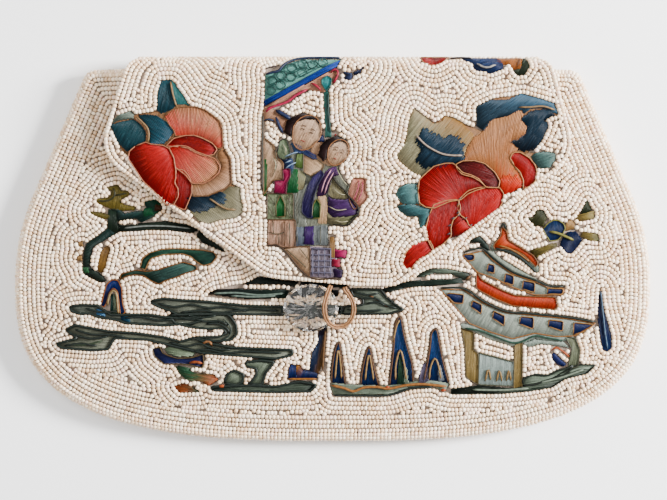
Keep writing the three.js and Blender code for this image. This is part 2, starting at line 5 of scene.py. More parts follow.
import bpy
import numpy as np
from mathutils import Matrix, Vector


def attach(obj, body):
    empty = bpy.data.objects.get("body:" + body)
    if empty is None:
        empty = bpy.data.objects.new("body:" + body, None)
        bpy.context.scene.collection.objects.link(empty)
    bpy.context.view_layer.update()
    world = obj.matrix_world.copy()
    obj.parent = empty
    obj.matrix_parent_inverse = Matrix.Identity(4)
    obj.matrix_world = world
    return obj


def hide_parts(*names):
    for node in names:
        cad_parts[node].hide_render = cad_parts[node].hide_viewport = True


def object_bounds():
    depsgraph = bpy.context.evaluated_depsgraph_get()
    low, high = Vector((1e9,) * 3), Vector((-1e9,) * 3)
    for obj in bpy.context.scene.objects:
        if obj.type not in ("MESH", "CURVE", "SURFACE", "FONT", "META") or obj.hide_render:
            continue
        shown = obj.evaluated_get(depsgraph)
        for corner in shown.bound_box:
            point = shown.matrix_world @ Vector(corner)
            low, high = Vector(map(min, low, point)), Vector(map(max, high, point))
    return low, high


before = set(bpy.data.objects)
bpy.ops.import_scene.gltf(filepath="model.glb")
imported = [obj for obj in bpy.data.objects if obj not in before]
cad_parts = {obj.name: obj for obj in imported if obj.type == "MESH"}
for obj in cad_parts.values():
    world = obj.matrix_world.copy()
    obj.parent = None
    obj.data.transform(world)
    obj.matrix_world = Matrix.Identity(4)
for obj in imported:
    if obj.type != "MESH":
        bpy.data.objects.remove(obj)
cad_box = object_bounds()

# Floor, light and camera: a pale table seen from straight above, as a copy stand sees it.
# The bag is worked in millimetres, across from its centre line, up from its bottom and out from the table.
MM = 0.001
fold_top = cad_box[1].y / MM * 2
view_width = 240.1
pulp_clouds_per_mm = 0.018
view_centre = (0.36, 68.8)
seam_height = 4.5
lens = 85.0
sensor = 36.0


def to_frame(points):
    """Millimetres on the bag to metres in the frame, whose Y starts half way up the bag."""
    return (np.asarray(points, float) - (0.0, fold_top / 2, 0.0)) * MM


def linear(code):
    """An sRGB hex colour as linear red, green and blue."""
    parts = np.array([int(code[i:i + 2], 16) for i in (1, 3, 5)]) / 255
    return np.where(parts <= 0.04045, parts / 12.92, ((parts + 0.055) / 1.055) ** 2.4)


def rgba(code):
    return (*linear(code), 1.0)


def new_material(name):
    material = bpy.data.materials.new(name)
    material.use_nodes = True
    material.node_tree.nodes.clear()
    return material


def add_node(material, kind, inputs=None, **settings):
    """Adds one node. An input is a value, or another node's output to link. A shader becomes the surface."""
    node = material.node_tree.nodes.new(kind)
    for key, value in settings.items():
        setattr(node, key, value)
    for key, value in (inputs or {}).items():
        if isinstance(value, bpy.types.NodeSocket):
            material.node_tree.links.new(value, node.inputs[key])
        else:
            node.inputs[key].default_value = value
    if "BSDF" in node.outputs:
        surface = material.node_tree.nodes.new("ShaderNodeOutputMaterial").inputs["Surface"]
        material.node_tree.links.new(node.outputs["BSDF"], surface)
    return node


# Matt paper: the faint cloudiness of pressed pulp keeps the sheet from reading as a screen
matt_paper = new_material("matt_white_paper")
pulp = add_node(matt_paper, "ShaderNodeTexNoise", {"Scale": pulp_clouds_per_mm / MM, "Detail": 3.0})
pulp_tone = add_node(matt_paper, "ShaderNodeValToRGB", {"Fac": pulp.outputs["Fac"]})
pulp_tone.color_ramp.elements[0].color = rgba("#f4f4f4")
pulp_tone.color_ramp.elements[1].color = rgba("#fafafa")
add_node(matt_paper, "ShaderNodeBsdfPrincipled", {
    "Base Color": pulp_tone.outputs["Color"], "Roughness": 0.9, "Specular IOR Level": 0.2})

floor_half = 1.5
floor_mesh = bpy.data.meshes.new("floor")
floor_mesh.from_pydata(
    [(-floor_half, -floor_half, 0), (floor_half, -floor_half, 0), (floor_half, floor_half, 0),
     (-floor_half, floor_half, 0)], [], [(0, 1, 2, 3)])
floor = bpy.data.objects.new("floor", floor_mesh)
bpy.context.collection.objects.link(floor)
floor_mesh.materials.append(matt_paper)

camera_data = bpy.data.cameras.new("camera")
camera_data.lens = lens
camera_data.sensor_width = sensor
camera = bpy.data.objects.new("camera", camera_data)
bpy.context.collection.objects.link(camera)
camera_height = view_width * lens / sensor + seam_height
camera.location = to_frame((*view_centre, camera_height))
bpy.context.scene.camera = camera


def soft_light(name, place, size, power):
    """A square lamp that faces the middle of the bag."""
    lamp = bpy.data.lights.new(name, "AREA")
    lamp.size = size
    lamp.energy = power
    lit = bpy.data.objects.new(name, lamp)
    bpy.context.collection.objects.link(lit)
    lit.location = place
    across, up, out = place
    lit.rotation_euler = (math.atan2(math.hypot(across, up), out), 0.0, math.atan2(across, -up))


soft_light("window_light", place=(1.10, 0.25, 0.55), size=0.36, power=93.0)
soft_light("fill_light", place=(-0.40, 0.30, 1.10), size=1.10, power=13.0)
world = bpy.data.worlds.new("studio")
world.use_nodes = True
world.node_tree.nodes["Background"].inputs["Color"].default_value = (1.0, 1.0, 1.0, 1.0)
world.node_tree.nodes["Background"].inputs["Strength"].default_value = 0.8
bpy.context.scene.world = world

# Ground cloth: closely woven silk and cotton, cut as a back, a front and a flap that the back runs on into.
# Back and front are sewn together round the sides and bottom. The beads and the embroidery are sewn through
# it, so it shows only between them, tanned by age.
body_width = 228.6
body_height = 133.8
widest_up = 58.0
bottom_fullness = 2.9
hip_radius = 75.0
side_lean = 0.43
corner_radius = 5.0
back_rim = 4.25
front_rim = 3.0
bulge = 6.65
bulge_fullness = 2.2
mouth_lift = 2.65
mouth_lift_reach = 38.0
mouth_fade = 9.0
mouth_end = 1.5
fold_radius = 6.9
flap_width = 170.0
flap_offset = 1.7
flap_drop = 83.3
fold_clearance = 0.2
flap_ride = 0.6
flap_ease = 0.5
flap_level_reach = 8.0
chart_ease = 0.75
flap_start = 128.7
bead_thickness = 1.3
stitch_gap = 0.3
cloth_thickness = 1.0
wall = bead_thickness + stitch_gap + cloth_thickness
cloth_depth = bead_thickness + stitch_gap
seam_up = back_rim + stitch_gap
fold_centre = fold_top - fold_radius
crown = np.array([0.0, widest_up + 4.0])

# Shallow hollows in the front, below the flap: across, up and reach in half widths, then depth as a share
dents = [(-0.62, 0.24, 0.30, 0.09), (0.58, 0.30, 0.26, 0.07), (0.05, 0.18, 0.22, 0.05)]

# The flap's corners: across in half widths, down as a share of the drop, and the radius of each
flap_corners = [(-0.868, -0.005, 8.0), (-1.0, 0.425, 14.0), (-0.296, 0.952, 12.0),
                (0.228, 1.0, 12.0), (1.0, 0.435, 14.0), (0.889, -0.005, 9.0)]


def smooth_step(share):
    share = np.clip(share, 0.0, 1.0)
    return share * share * (3 - 2 * share)


def resample(points, step, closed=False):
    """Points an even step apart along a line of points."""
    points = np.asarray(points, float)
    if closed:
        points = np.vstack([points, points[:1]])
    along = np.concatenate([[0.0], np.cumsum(np.linalg.norm(np.diff(points, axis=0), axis=1))])
    count = max(2, int(round(along[-1] / step)) + 1)
    wanted = np.linspace(0.0, along[-1], count)
    made = np.column_stack([np.interp(wanted, along, points[:, k]) for k in range(points.shape[1])])
    return made[:-1] if closed else made


def right_side():
    """Right side of the body, from the middle of the bottom to where the top corner ends."""
    turn = np.linspace(0.0, math.pi / 2, 60)
    power = 2 / bottom_fullness
    bottom = np.column_stack([body_width / 2 * np.sin(turn) ** power,
                              widest_up * (1 - np.clip(np.cos(turn), 0, 1) ** power)])
    lean = math.atan(side_lean)
    turn = np.linspace(0.0, lean, 12)[1:]
    hip_centre = (body_width / 2 - hip_radius, widest_up)
    hip = np.column_stack([np.cos(turn), np.sin(turn)]) * hip_radius + hip_centre
    start_up = body_height - corner_radius * (1 - math.sin(lean))
    start_across = hip[-1, 0] - (start_up - hip[-1, 1]) * side_lean
    centre = (start_across - corner_radius * math.cos(lean), body_height - corner_radius)
    turn = np.linspace(lean, math.pi / 2, 10)
    corner = np.column_stack([np.cos(turn), np.sin(turn)]) * corner_radius + centre
    return np.vstack([bottom, hip, corner])


side = right_side()
mouth_half = side[-1, 0] - mouth_end
body_outline = resample(np.vstack([side, side[::-1][:-1] * (-1, 1)]), 1.6, closed=True)


def unit(vectors):
    return vectors / np.maximum(np.linalg.norm(vectors, axis=1, keepdims=True), 1e-9)


def outward(line):
    """Unit vectors out of a closed line that runs counter-clockwise."""
    along = np.roll(line, -1, axis=0) - np.roll(line, 1, axis=0)
    return unit(np.column_stack([along[:, 1], -along[:, 0]]))


def inset(line, amount):
    return line - outward(line) * amount


rim_line = inset(body_outline, front_rim)
rim_angles = np.arctan2(*(rim_line - crown).T[::-1])
rim_reach = np.linalg.norm(rim_line - crown, axis=1)


def lift_at(across, up):
    along = smooth_step((up - (body_height - mouth_lift_reach)) / mouth_lift_reach)
    return mouth_lift * along * (1 - smooth_step((np.abs(across) - (mouth_half - mouth_fade)) / mouth_fade))


def front_height(across, up):
    """Height of the tops of the beads on the front of the body."""
    away = np.hypot(across - crown[0], up - crown[1])
    edge = np.interp(np.arctan2(up - crown[1], across - crown[0]), rim_angles, rim_reach, period=2 * math.pi)
    dome = 1 - (1 - np.clip(1 - away / edge, 0, 1)) ** bulge_fullness
    depth = 0.0
    for dent_across, dent_up, reach, share in dents:
        half = body_width / 2
        near = np.hypot(across - dent_across * half, up - dent_up * half) / (reach * half)
        depth = depth + share * bulge * (1 - smooth_step(near))
    return seam_up + front_rim + bulge * dome + lift_at(across, up) - depth * dome


def flap_height(across, up):
    """The flap rides on the front and leaves it towards the fold."""
    riding = front_height(across, up) + flap_ride + wall
    easing = 2 * fold_radius
    high = np.maximum(riding, easing)
    return high + flap_ease * np.log1p(np.exp(-np.abs(riding - easing) / flap_ease))


def on_front(across, up, depth=0.0):
    return np.stack(np.broadcast_arrays(across, up, front_height(across, up) - depth), axis=-1)


def on_back(across, up, depth=0.0):
    return np.stack(np.broadcast_arrays(across, up, depth + 0.0 * up), axis=-1)


# The flap is charted flat: above the fold's centre, up counts on round the fold at this radius
rolled_radius = fold_radius - chart_ease
rolled_end = fold_centre + math.pi * rolled_radius
flap_top = rolled_end + fold_centre - flap_start


def flap_plan(up):
    """Where a point charted on the flat flap lies, seen from above."""
    turn = math.pi / 2 - (np.clip(up, fold_centre, rolled_end) - fold_centre) / rolled_radius
    round_fold = fold_centre + fold_radius * np.cos(turn)
    on_the_back = fold_centre - (up - rolled_end)
    return np.where(up <= fold_centre, up, np.where(up < rolled_end, round_fold, on_the_back))


def on_flap(across, up, depth=0.0):
    across, up = np.broadcast_arrays(np.asarray(across, float), np.asarray(up, float))
    turn = math.pi / 2 - (np.clip(up, fold_centre, rolled_end) - fold_centre) / rolled_radius
    reach = fold_radius - depth
    rolled = fold_centre + reach * np.cos(turn) - np.clip(up - rolled_end, 0, None)
    plan = np.where(up <= fold_centre, up, rolled)
    lying = flap_height(across, np.minimum(up, fold_centre)) - depth
    ease = smooth_step((up - fold_centre + flap_level_reach) / flap_level_reach)
    lying = lying + ease * (2 * fold_radius - depth - lying)
    height = np.where(up <= fold_centre, lying, fold_radius + reach * np.sin(turn))
    return np.stack([across, plan, height], axis=-1)


def rounded(corners):
    """A closed outline with its corners rounded by short curves, each to its own radius."""
    points = []
    for i, (x, y, radius) in enumerate(corners):
        here = np.array([x, y])
        before = np.array(corners[i - 1][:2]) - here
        after = np.array(corners[(i + 1) % len(corners)][:2]) - here
        before = before / np.linalg.norm(before)
        after = after / np.linalg.norm(after)
        half = math.acos(np.clip(before @ after, -1, 1)) / 2
        reach = radius / math.tan(half)
        for t in np.linspace(0, 1, 9):
            start = here + before * reach
            end = here + after * reach
            points.append((1 - t) ** 2 * start + 2 * t * (1 - t) * here + t * t * end)
    return np.array(points)


flap_shape = rounded([(flap_offset + x * flap_width / 2, fold_top - y * flap_drop, radius)
                      for x, y, radius in flap_corners])
flap_outline = resample(flap_shape, 1.2, closed=True)


def flap_span(up, edge=0.0):
    """Left and right ends of the flap at a height, seen from above."""
    line = inset(flap_outline[::-1] if signed_area(flap_outline) < 0 else flap_outline, edge)
    middle = line[np.argmin(line[:, 1]), 0]
    left = line[(line[:, 0] <= middle)]
    right = line[(line[:, 0] > middle)]
    left = left[np.argsort(left[:, 1])]
    right = right[np.argsort(right[:, 1])]
    return np.interp(up, left[:, 1], left[:, 0]), np.interp(up, right[:, 1], right[:, 0])


def charted_span(up, edge=0.0):
    """Left and right ends of the flap at a height of its flat chart."""
    return flap_span(min(float(flap_plan(up)), fold_top - fold_clearance), edge)


def signed_area(line):
    following = np.roll(line, -1, axis=0)
    return 0.5 * np.sum(line[:, 0] * following[:, 1] - line[:, 1] * following[:, 0])


def mesh_object(name, points, quads, triangles=(), colours=None):
    """One object from arrays of points in millimetres, of faces, and of a colour for each point."""
    points = to_frame(points).reshape(-1, 3)
    quads = np.asarray(quads, int).reshape(-1, 4)
    triangles = np.asarray(triangles, int).reshape(-1, 3)
    mesh = bpy.data.meshes.new(name)
    corners = np.concatenate([quads.ravel(), triangles.ravel()])
    starts = np.concatenate([np.arange(len(quads)) * 4, len(quads) * 4 + np.arange(len(triangles)) * 3])
    mesh.vertices.add(len(points))
    mesh.vertices.foreach_set("co", points.ravel())
    mesh.loops.add(len(corners))
    mesh.loops.foreach_set("vertex_index", corners)
    mesh.polygons.add(len(starts))
    mesh.polygons.foreach_set("loop_start", starts)
    mesh.update(calc_edges=True)
    mesh.shade_smooth()
    if colours is not None:
        layer = mesh.color_attributes.new("thread_tone", "FLOAT_COLOR", "POINT")
        layer.data.foreach_set("color", np.column_stack([colours, np.ones(len(colours))]).ravel())
    made = bpy.data.objects.new(name, mesh)
    bpy.context.collection.objects.link(made)
    return made


def lofted(rings):
    """The points of a tube from its rings of points, and the quads between them."""
    rings = np.asarray(rings, float)
    levels, count = rings.shape[:2]
    k = np.arange(count)
    nxt = (k + 1) % count
    quads = [np.column_stack([here + k, here + nxt, here + count + nxt, here + count + k])
             for here in range(0, (levels - 1) * count, count)]
    return rings.reshape(-1, 3), np.vstack(quads)


def end_caps(first, last, sides):
    """Fans of triangles that shut a tube, from the number of the first point of each end ring."""
    low = [(first, first + k + 1, first + k) for k in range(1, sides - 1)]
    return low + [(last, last + k, last + k + 1) for k in range(1, sides - 1)]


def turns_of(sides):
    return np.arange(sides) / sides * 2 * math.pi


def rolled_edge(rim, depth, turn, side_of_bag):
    """A line round the bag's rolled edge, at a turn from the seam towards the front or the back."""
    line = inset(body_outline, rim - (rim - depth) * math.cos(turn))
    rise = (rim - depth) * math.sin(turn)
    lift = lift_at(body_outline[:, 0], body_outline[:, 1])
    height = seam_up + rise + lift if side_of_bag > 0 else np.full(len(line), back_rim - rise)
    return np.column_stack([line, height])


# Rings across a side of the bag, as shares of the way from its rim to its middle
ring_shares = (0.03, 0.07, 0.12, 0.2, 0.3, 0.42, 0.56, 0.72, 0.88, 0.97)


def panel_rings(rim, depth, side_of_bag):
    """Rings of points across one side of the bag, from its seam to its middle."""
    rings = [rolled_edge(rim, depth, turn, side_of_bag) for turn in np.linspace(0.0, math.pi / 2, 6)]
    inner = inset(body_outline, rim)
    for share in ring_shares:
        line = inner + (crown - inner) * share
        surface = on_front if side_of_bag > 0 else on_back
        rings.append(surface(line[:, 0], line[:, 1], depth))
    return rings


def cloth_panel(name, rim, side_of_bag):
    outer = panel_rings(rim, cloth_depth, side_of_bag)
    inner = panel_rings(rim, wall, side_of_bag)
    rings = [ring[::2] for ring in inner[::-1] + outer]
    points, quads = lofted(rings)
    count = len(rings[0])
    ends = []
    for ring, flip in ((0, True), (len(rings) - 1, False)):
        middle = rings[ring].mean(axis=0)
        points = np.vstack([points, middle])
        k = np.arange(count) + ring * count
        nxt = (np.arange(count) + 1) % count + ring * count
        fan = np.column_stack([k, nxt, np.full(count, len(points) - 1)])
        ends.append(fan[:, ::-1] if flip else fan)
    if side_of_bag < 0:
        quads = quads[:, ::-1]
        ends = [fan[:, ::-1] for fan in ends]
    return mesh_object(name, points, quads, np.vstack(ends))


# Rows and columns of the flap's cloth. The rows crowd towards its narrow tip
sheet_front_rows = 60
sheet_fold_rows = 26
sheet_columns = 40
tip_crowding = 1.25
tip_clearance = 0.05


def flap_sheet(name, top_depth, low_depth, edge):
    """A closed sheet over the flap, from its tip up round the fold and down its short stretch on the back."""
    tip = flap_outline[:, 1].min() + edge + tip_clearance
    front_rows = tip + (fold_centre - tip) * np.linspace(0, 1, sheet_front_rows) ** tip_crowding
    ups = np.concatenate([front_rows, np.linspace(fold_centre, flap_top, sheet_fold_rows)[1:]])
    shares = np.linspace(0, 1, sheet_columns)
    layers = []
    for depth in (top_depth, low_depth):
        rows = []
        for up in ups:
            left, right = charted_span(up, edge)
            rows.append(on_flap(left + (right - left) * shares, up, depth))
        layers.append(np.array(rows))
    count = len(ups) * len(shares)
    points = np.vstack([layers[0].reshape(-1, 3), layers[1].reshape(-1, 3)])
    row, column = np.meshgrid(np.arange(len(ups) - 1), np.arange(len(shares) - 1), indexing="ij")
    a = (row * len(shares) + column).ravel()
    top = np.column_stack([a, a + 1, a + 1 + len(shares), a + len(shares)])
    low = top[:, ::-1] + count
    width, last = len(shares), (len(ups) - 1) * len(shares)
    around = np.concatenate([np.arange(width), np.arange(1, len(ups)) * width + width - 1,
                             last + np.arange(width - 2, -1, -1), np.arange(len(ups) - 2, 0, -1) * width])
    nxt = np.roll(around, -1)
    sides = np.column_stack([around, around + count, nxt + count, nxt])
    return mesh_object(name, points, np.vstack([top, low, sides]))


# Plain-woven cloth, dyed and then tanned: warp and weft 0.5 mm apart give a fine matt check with slubs
woven_cloth = new_material("plain_woven_silk_and_cotton")
thread_spacing = 0.5
stains_per_mm = 0.06
bands_per_turn = 0.314
bag_place = add_node(woven_cloth, "ShaderNodeTexCoord")
warp = add_node(woven_cloth, "ShaderNodeTexWave", {
    "Vector": bag_place.outputs["Object"], "Scale": bands_per_turn / (thread_spacing * MM),
    "Distortion": 1.5, "Detail": 1.0},
    bands_direction="X")
weft = add_node(woven_cloth, "ShaderNodeTexWave", {
    "Vector": bag_place.outputs["Object"], "Scale": bands_per_turn / (thread_spacing * MM),
    "Distortion": 1.5, "Detail": 1.0},
    bands_direction="Y")
weave = add_node(woven_cloth, "ShaderNodeMath", {0: warp.outputs["Fac"], 1: weft.outputs["Fac"]},
                 operation="MULTIPLY")
age = add_node(woven_cloth, "ShaderNodeTexNoise", {
    "Vector": bag_place.outputs["Object"], "Scale": stains_per_mm / MM, "Detail": 4.0})
age_tone = add_node(woven_cloth, "ShaderNodeValToRGB", {"Fac": age.outputs["Fac"]})
age_tone.color_ramp.elements[0].position = 0.35
age_tone.color_ramp.elements[0].color = rgba("#6f6054")
age_tone.color_ramp.elements[1].position = 0.68
age_tone.color_ramp.elements[1].color = rgba("#95867a")
weave_bump = add_node(woven_cloth, "ShaderNodeBump", {"Height": weave.outputs["Value"], "Strength": 0.5,
                                                      "Distance": 0.0002})
add_node(woven_cloth, "ShaderNodeBsdfPrincipled", {
    "Base Color": age_tone.outputs["Color"], "Roughness": 0.85, "Sheen Weight": 0.15,
    "Specular IOR Level": 0.3, "Normal": weave_bump.outputs["Normal"]})

cloth_inset = 0.6
for panel, node_name in ((cloth_panel("back_cloth", back_rim, -1), "back_panel"),
                         (cloth_panel("front_cloth", front_rim, 1), "front_panel"),
                         (flap_sheet("flap_cloth", cloth_depth, wall, cloth_inset), "flap_panel")):
    panel.data.materials.append(woven_cloth)
    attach(panel, "root")
    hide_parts(node_name)

# Silk embroidery: motifs worked in satin stitch with untwisted floss, then outlined with couched gilt thread.
# Each stitch is one flat strand that dives into the cloth at both ends, in long and short rows where a shade
# turns. Strands are drawn as coarse as they need to be to show.
strand_pitch = 0.42
strand_width = 0.64
strand_rise = 0.24
silk_depth = 0.55
dive_depth = 1.5
pile_step = 0.25
longest_stitch = 8.0
shortest_stitch = 0.45
stitch_overlap = 0.5
cut_scatter = 0.42
turn_length = 0.32
turn_share = 0.12
join_drop = 0.12
shade_scatter = 0.06
lie_scatter = 0.03
strand_dyes = (0.80, 1.20)
petal_swell = 0.45
couch_sink = 0.05
couch_curve = 0.5
gilt_step = 1.0
gilt_sides = 5
gilt_taper = 0.4
gilt_dive = 0.5
gilt_turns = (1.12, 0.82)
dye_strength = 0.31
dye_depth = 0.9
dye_floor = 0.003
rng = np.random.default_rng(1924)
sewn_on_front = []
sewn_on_flap = []


def flap_chart(up):
    """A height seen from above, as the height where the flat flap is charted."""
    turn = np.arcsin(np.clip((up - fold_centre) / fold_radius, 0, 1))
    return np.where(up <= fold_centre, up, fold_centre + turn * rolled_radius)


def dyed(code):
    """The dye that shows as this colour in the studio's light."""
    seen = linear(code)
    bright = seen.max()
    return np.maximum(dye_strength * seen * (seen / bright) ** (dye_depth * bright) - dye_floor, 0.001)


def smoothed(points, step):
    """A soft curve through a few points, as even short steps."""
    points = np.asarray(points, float)
    if len(points) < 3:
        return resample(points, step)
    ghost = np.vstack([2 * points[0] - points[1], points, 2 * points[-1] - points[-2]])
    made = []
    for a, b, c, d in zip(ghost, ghost[1:], ghost[2:], ghost[3:]):
        for t in np.linspace(0, 1, 9)[:-1]:
            made.append(0.5 * (2 * b + (c - a) * t + (2 * a - 5 * b + 4 * c - d) * t ** 2
                               + (3 * b - a - 3 * c + d) * t ** 3))
    return resample(np.vstack([made, points[-1]]), step)


class Motif:
    """One embroidered motif: its areas of satin stitch and its couched lines, sewn as one piece."""

    def __init__(self, name, surface, gilt="#d8ac84"):
        self.name = name
        self.gilt = gilt
        self.surface = surface
        self.ground = sewn_on_flap if surface is on_flap else sewn_on_front
        self.plan = []
        self.depth = []
        self.tone = []
        self.cords = []

    def chart(self, text):
        points = np.array([[float(value) for value in pair.split(",")] for pair in text.split()])
        if self.surface is on_flap:
            points[:, 1] = flap_chart(points[:, 1])
        return points

    def satin(self, outline, tones, lay=90.0, shade=None, fan=None, pile=0, edge=None, jag=0.25,
              edge_width=0.4, grow=0.0):
        """Fills an area with stitches laid one way, or fanning from a point, shaded from tone to tone."""
        area = self.chart(outline)
        self.ground.append((area, True, 0.0))
        if grow:
            area = area if signed_area(area) > 0 else area[::-1]
            area = inset(area, -grow)
        colours = np.array([dyed(tone) for tone in tones.split()])
        for start, way, reach in self.threads(area, lay, fan):
            for a, b in reach:
                a -= rng.uniform(0, jag)
                b += rng.uniform(0, jag)
                count = max(1, math.ceil((b - a) / longest_stitch))
                cuts = (np.arange(1, count) + rng.uniform(-cut_scatter, cut_scatter, count - 1)) / count
                cuts = a + (b - a) * np.concatenate([[0.0], cuts, [1.0]])
                for k in range(count):
                    low = cuts[k] - (stitch_overlap if k > 0 else 0.0)
                    high = cuts[k + 1] + (stitch_overlap if k < count - 1 else 0.0)
                    if high - low > shortest_stitch:
                        self.stitch(area, start + way * low, start + way * high, colours, shade, lay, pile,
                                    (k == 0, k == count - 1))
        if edge:
            self.couch_line(np.vstack([area, area[:1]]), edge, edge_width, pile + 1)

    def petal(self, outline, tones, **how):
        """An area that swells out to meet its neighbours, with a gilt thread round it."""
        self.satin(outline, tones, edge=self.gilt, grow=petal_swell, **how)

    def threads(self, area, lay, fan):
        """Where each line of stitches crosses the area."""
        if fan is None:
            way = np.array([math.cos(math.radians(lay)), math.sin(math.radians(lay))])
            across = np.array([-way[1], way[0]])
            low, high = (area @ across).min(), (area @ across).max()
            lines = [(across * (low + (k + 0.5) * strand_pitch), way)
                     for k in range(max(1, int((high - low) / strand_pitch)))]
        else:
            centre = self.chart(fan)[0]
            out = area - centre
            far = np.linalg.norm(out, axis=1).max()
            middle = math.atan2(out[:, 1].mean(), out[:, 0].mean())
            turns = (np.arctan2(out[:, 1], out[:, 0]) - middle + math.pi) % (2 * math.pi) - math.pi
            steps = np.arange(turns.min(), turns.max(), strand_pitch / (0.72 * far))
            lines = [(centre, np.array([math.cos(middle + t), math.sin(middle + t)])) for t in steps]
        following = np.roll(area, -1, axis=0)
        for start, way in lines:
            side_a = (area - start) @ (-way[1], way[0])
            side_b = (following - start) @ (-way[1], way[0])
            met = (side_a > 0) != (side_b > 0)
            share = side_a[met] / (side_a[met] - side_b[met])
            found = np.sort((area[met] + (following[met] - area[met]) * share[:, None] - start) @ way)
            if fan is not None:
                found = found[found > 0]
                found = found if len(found) % 2 == 0 else np.concatenate([[0.6], found])
            yield start, way, found[:len(found) // 2 * 2].reshape(-1, 2)

    def stitch(self, area, start, end, colours, shade, lay, pile, outer):
        turned_in = min(turn_share, turn_length / np.linalg.norm(end - start))
        shares = np.array([0.0, turned_in, 1.0 - turned_in, 1.0])
        points = start + (end - start) * shares[:, None]
        way = (end - start) / np.linalg.norm(end - start)
        side_way = np.array([-way[1], way[0]])
        if shade:
            first, last = self.chart(shade)
        else:
            line_way = np.array([math.cos(math.radians(lay)), math.sin(math.radians(lay))])
            reach = area @ line_way
            first, last = line_way * reach.min(), line_way * reach.max()
        axis = last - first
        place = (points - first) @ axis / (axis @ axis) + rng.normal(0, shade_scatter)
        where = np.clip(place, 0, 1) * (len(colours) - 1)
        tone = np.column_stack([np.interp(where, np.arange(len(colours)), colours[:, k]) for k in range(3)])
        tone = tone * rng.uniform(*strand_dyes)
        top = silk_depth - pile * pile_step + rng.uniform(-lie_scatter, lie_scatter)
        first_end, last_end = (dive_depth if is_outer else top + join_drop for is_outer in outer)
        depths = np.array([first_end, top, top, last_end])
        half = strand_width / 2 * side_way
        self.plan.append(np.stack([points - half, points, points + half], axis=1))
        self.depth.append(np.stack([depths + strand_rise, depths, depths + strand_rise], axis=1))
        self.tone.append(np.repeat(tone[:, None], 3, axis=1))

    def couch(self, routes, tone, width=0.7, block=True, pile=2):
        """Lays a thread along each route and ties it down. A semicolon parts one route from the next."""
        for route in routes.split(";"):
            line = smoothed(self.chart(route), couch_curve)
            if block:
                self.ground.append((line, False, width / 2))
            self.couch_line(line, tone, width, pile)

    def couch_line(self, line, tone, width, pile):
        lying = silk_depth + couch_sink - pile * pile_step
        self.cords.append((resample(line, gilt_step), dyed(tone), width, lying))

    def sew(self):
        """Makes the motif's mesh: strands of three-sided section and round couched threads."""
        plan = np.array(self.plan).reshape(-1, 2)
        depth = np.array(self.depth).ravel()
        tone = np.array(self.tone).reshape(-1, 3)
        count = len(self.plan)
        points = self.surface(plan[:, 0], plan[:, 1], depth)
        first = np.arange(count)[:, None] * 12
        bands = np.array([[3 * s + k, 3 * s + (k + 1) % 3, 3 * s + 3 + (k + 1) % 3, 3 * s + 3 + k]
                          for s in range(3) for k in range(3)])
        quads = (first[:, :, None] + bands[None]).reshape(-1, 4)[:, ::-1]
        caps = (first[:, :, None] + np.array([[0, 1, 2], [11, 10, 9]])[None]).reshape(-1, 3)[:, ::-1]
        silk_faces = (len(quads), len(caps))
        parts, cord_quads, cord_caps, cord_tones = [points], [], [], []
        offset = len(points)
        turns = turns_of(gilt_sides)
        for line, colour, width, lying in self.cords:
            along = unit(np.gradient(line, axis=0))
            out = np.column_stack([-along[:, 1], along[:, 0]])
            size = np.full(len(line), width / 2)
            size[[0, -1]] *= gilt_taper
            middle = np.full(len(line), lying)
            middle[[0, -1]] += gilt_dive
            ring_plan = line[:, None] + out[:, None] * (np.cos(turns)[None, :, None] * size[:, None, None])
            ring_depth = middle[:, None] - np.sin(turns)[None] * size[:, None]
            rings = self.surface(ring_plan[..., 0], ring_plan[..., 1], ring_depth)
            made, faces = lofted(rings)
            parts.append(made)
            cord_quads.append(faces + offset)
            cord_caps.append(end_caps(offset, offset + len(made) - gilt_sides, gilt_sides))
            ply = np.where(np.arange(len(line)) % 2 == 0, *gilt_turns)
            cord_tones.append(np.repeat(colour[None] * ply[:, None], gilt_sides, axis=0))
            offset += len(made)
        if cord_quads:
            quads = np.vstack([quads, *cord_quads])
            caps = np.vstack([caps, *cord_caps])
            tone = np.vstack([tone, *cord_tones])
        made = mesh_object(self.name + "_silk", np.vstack(parts), quads, caps, np.clip(tone, 0, 1))
        made.data.materials.append(satin_floss)
        made.data.materials.append(gilt_thread)
        faces = np.zeros(len(quads) + len(caps), np.int32)
        faces[silk_faces[0]:len(quads)] = 1
        faces[len(quads) + silk_faces[1]:] = 1
        made.data.polygons.foreach_set("material_index", faces)
        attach(made, "root")
        if self.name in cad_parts:
            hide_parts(self.name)


# Untwisted silk floss, dyed: straight filaments give a soft gloss, deeper and duller where they bunch.
# Real filaments are too fine to show, so they are drawn about 0.4 mm apart
satin_floss = new_material("dyed_filament_silk")
filaments_per_mm = 2.6
floss_place = add_node(satin_floss, "ShaderNodeTexCoord")
floss_tone = add_node(satin_floss, "ShaderNodeAttribute", attribute_name="thread_tone")
filaments = add_node(satin_floss, "ShaderNodeTexNoise", {
    "Vector": floss_place.outputs["Object"], "Scale": filaments_per_mm / MM, "Detail": 2.0})
filament_tone = add_node(satin_floss, "ShaderNodeMapRange", {
    "Value": filaments.outputs["Fac"], "From Min": 0.3, "From Max": 0.7, "To Min": 0.78, "To Max": 1.16})
floss_colour = add_node(satin_floss, "ShaderNodeVectorMath", {
    0: floss_tone.outputs["Color"], "Scale": filament_tone.outputs["Result"]}, operation="SCALE")
floss_rough = add_node(satin_floss, "ShaderNodeMapRange", {
    "Value": filaments.outputs["Fac"], "To Min": 0.36, "To Max": 0.58})
floss_bump = add_node(satin_floss, "ShaderNodeBump", {"Height": filaments.outputs["Fac"], "Strength": 0.35,
                                                      "Distance": 0.0001})
add_node(satin_floss, "ShaderNodeBsdfPrincipled", {
    "Base Color": floss_colour.outputs["Vector"], "Roughness": floss_rough.outputs["Result"],
    "Specular IOR Level": 0.12, "Normal": floss_bump.outputs["Normal"]})

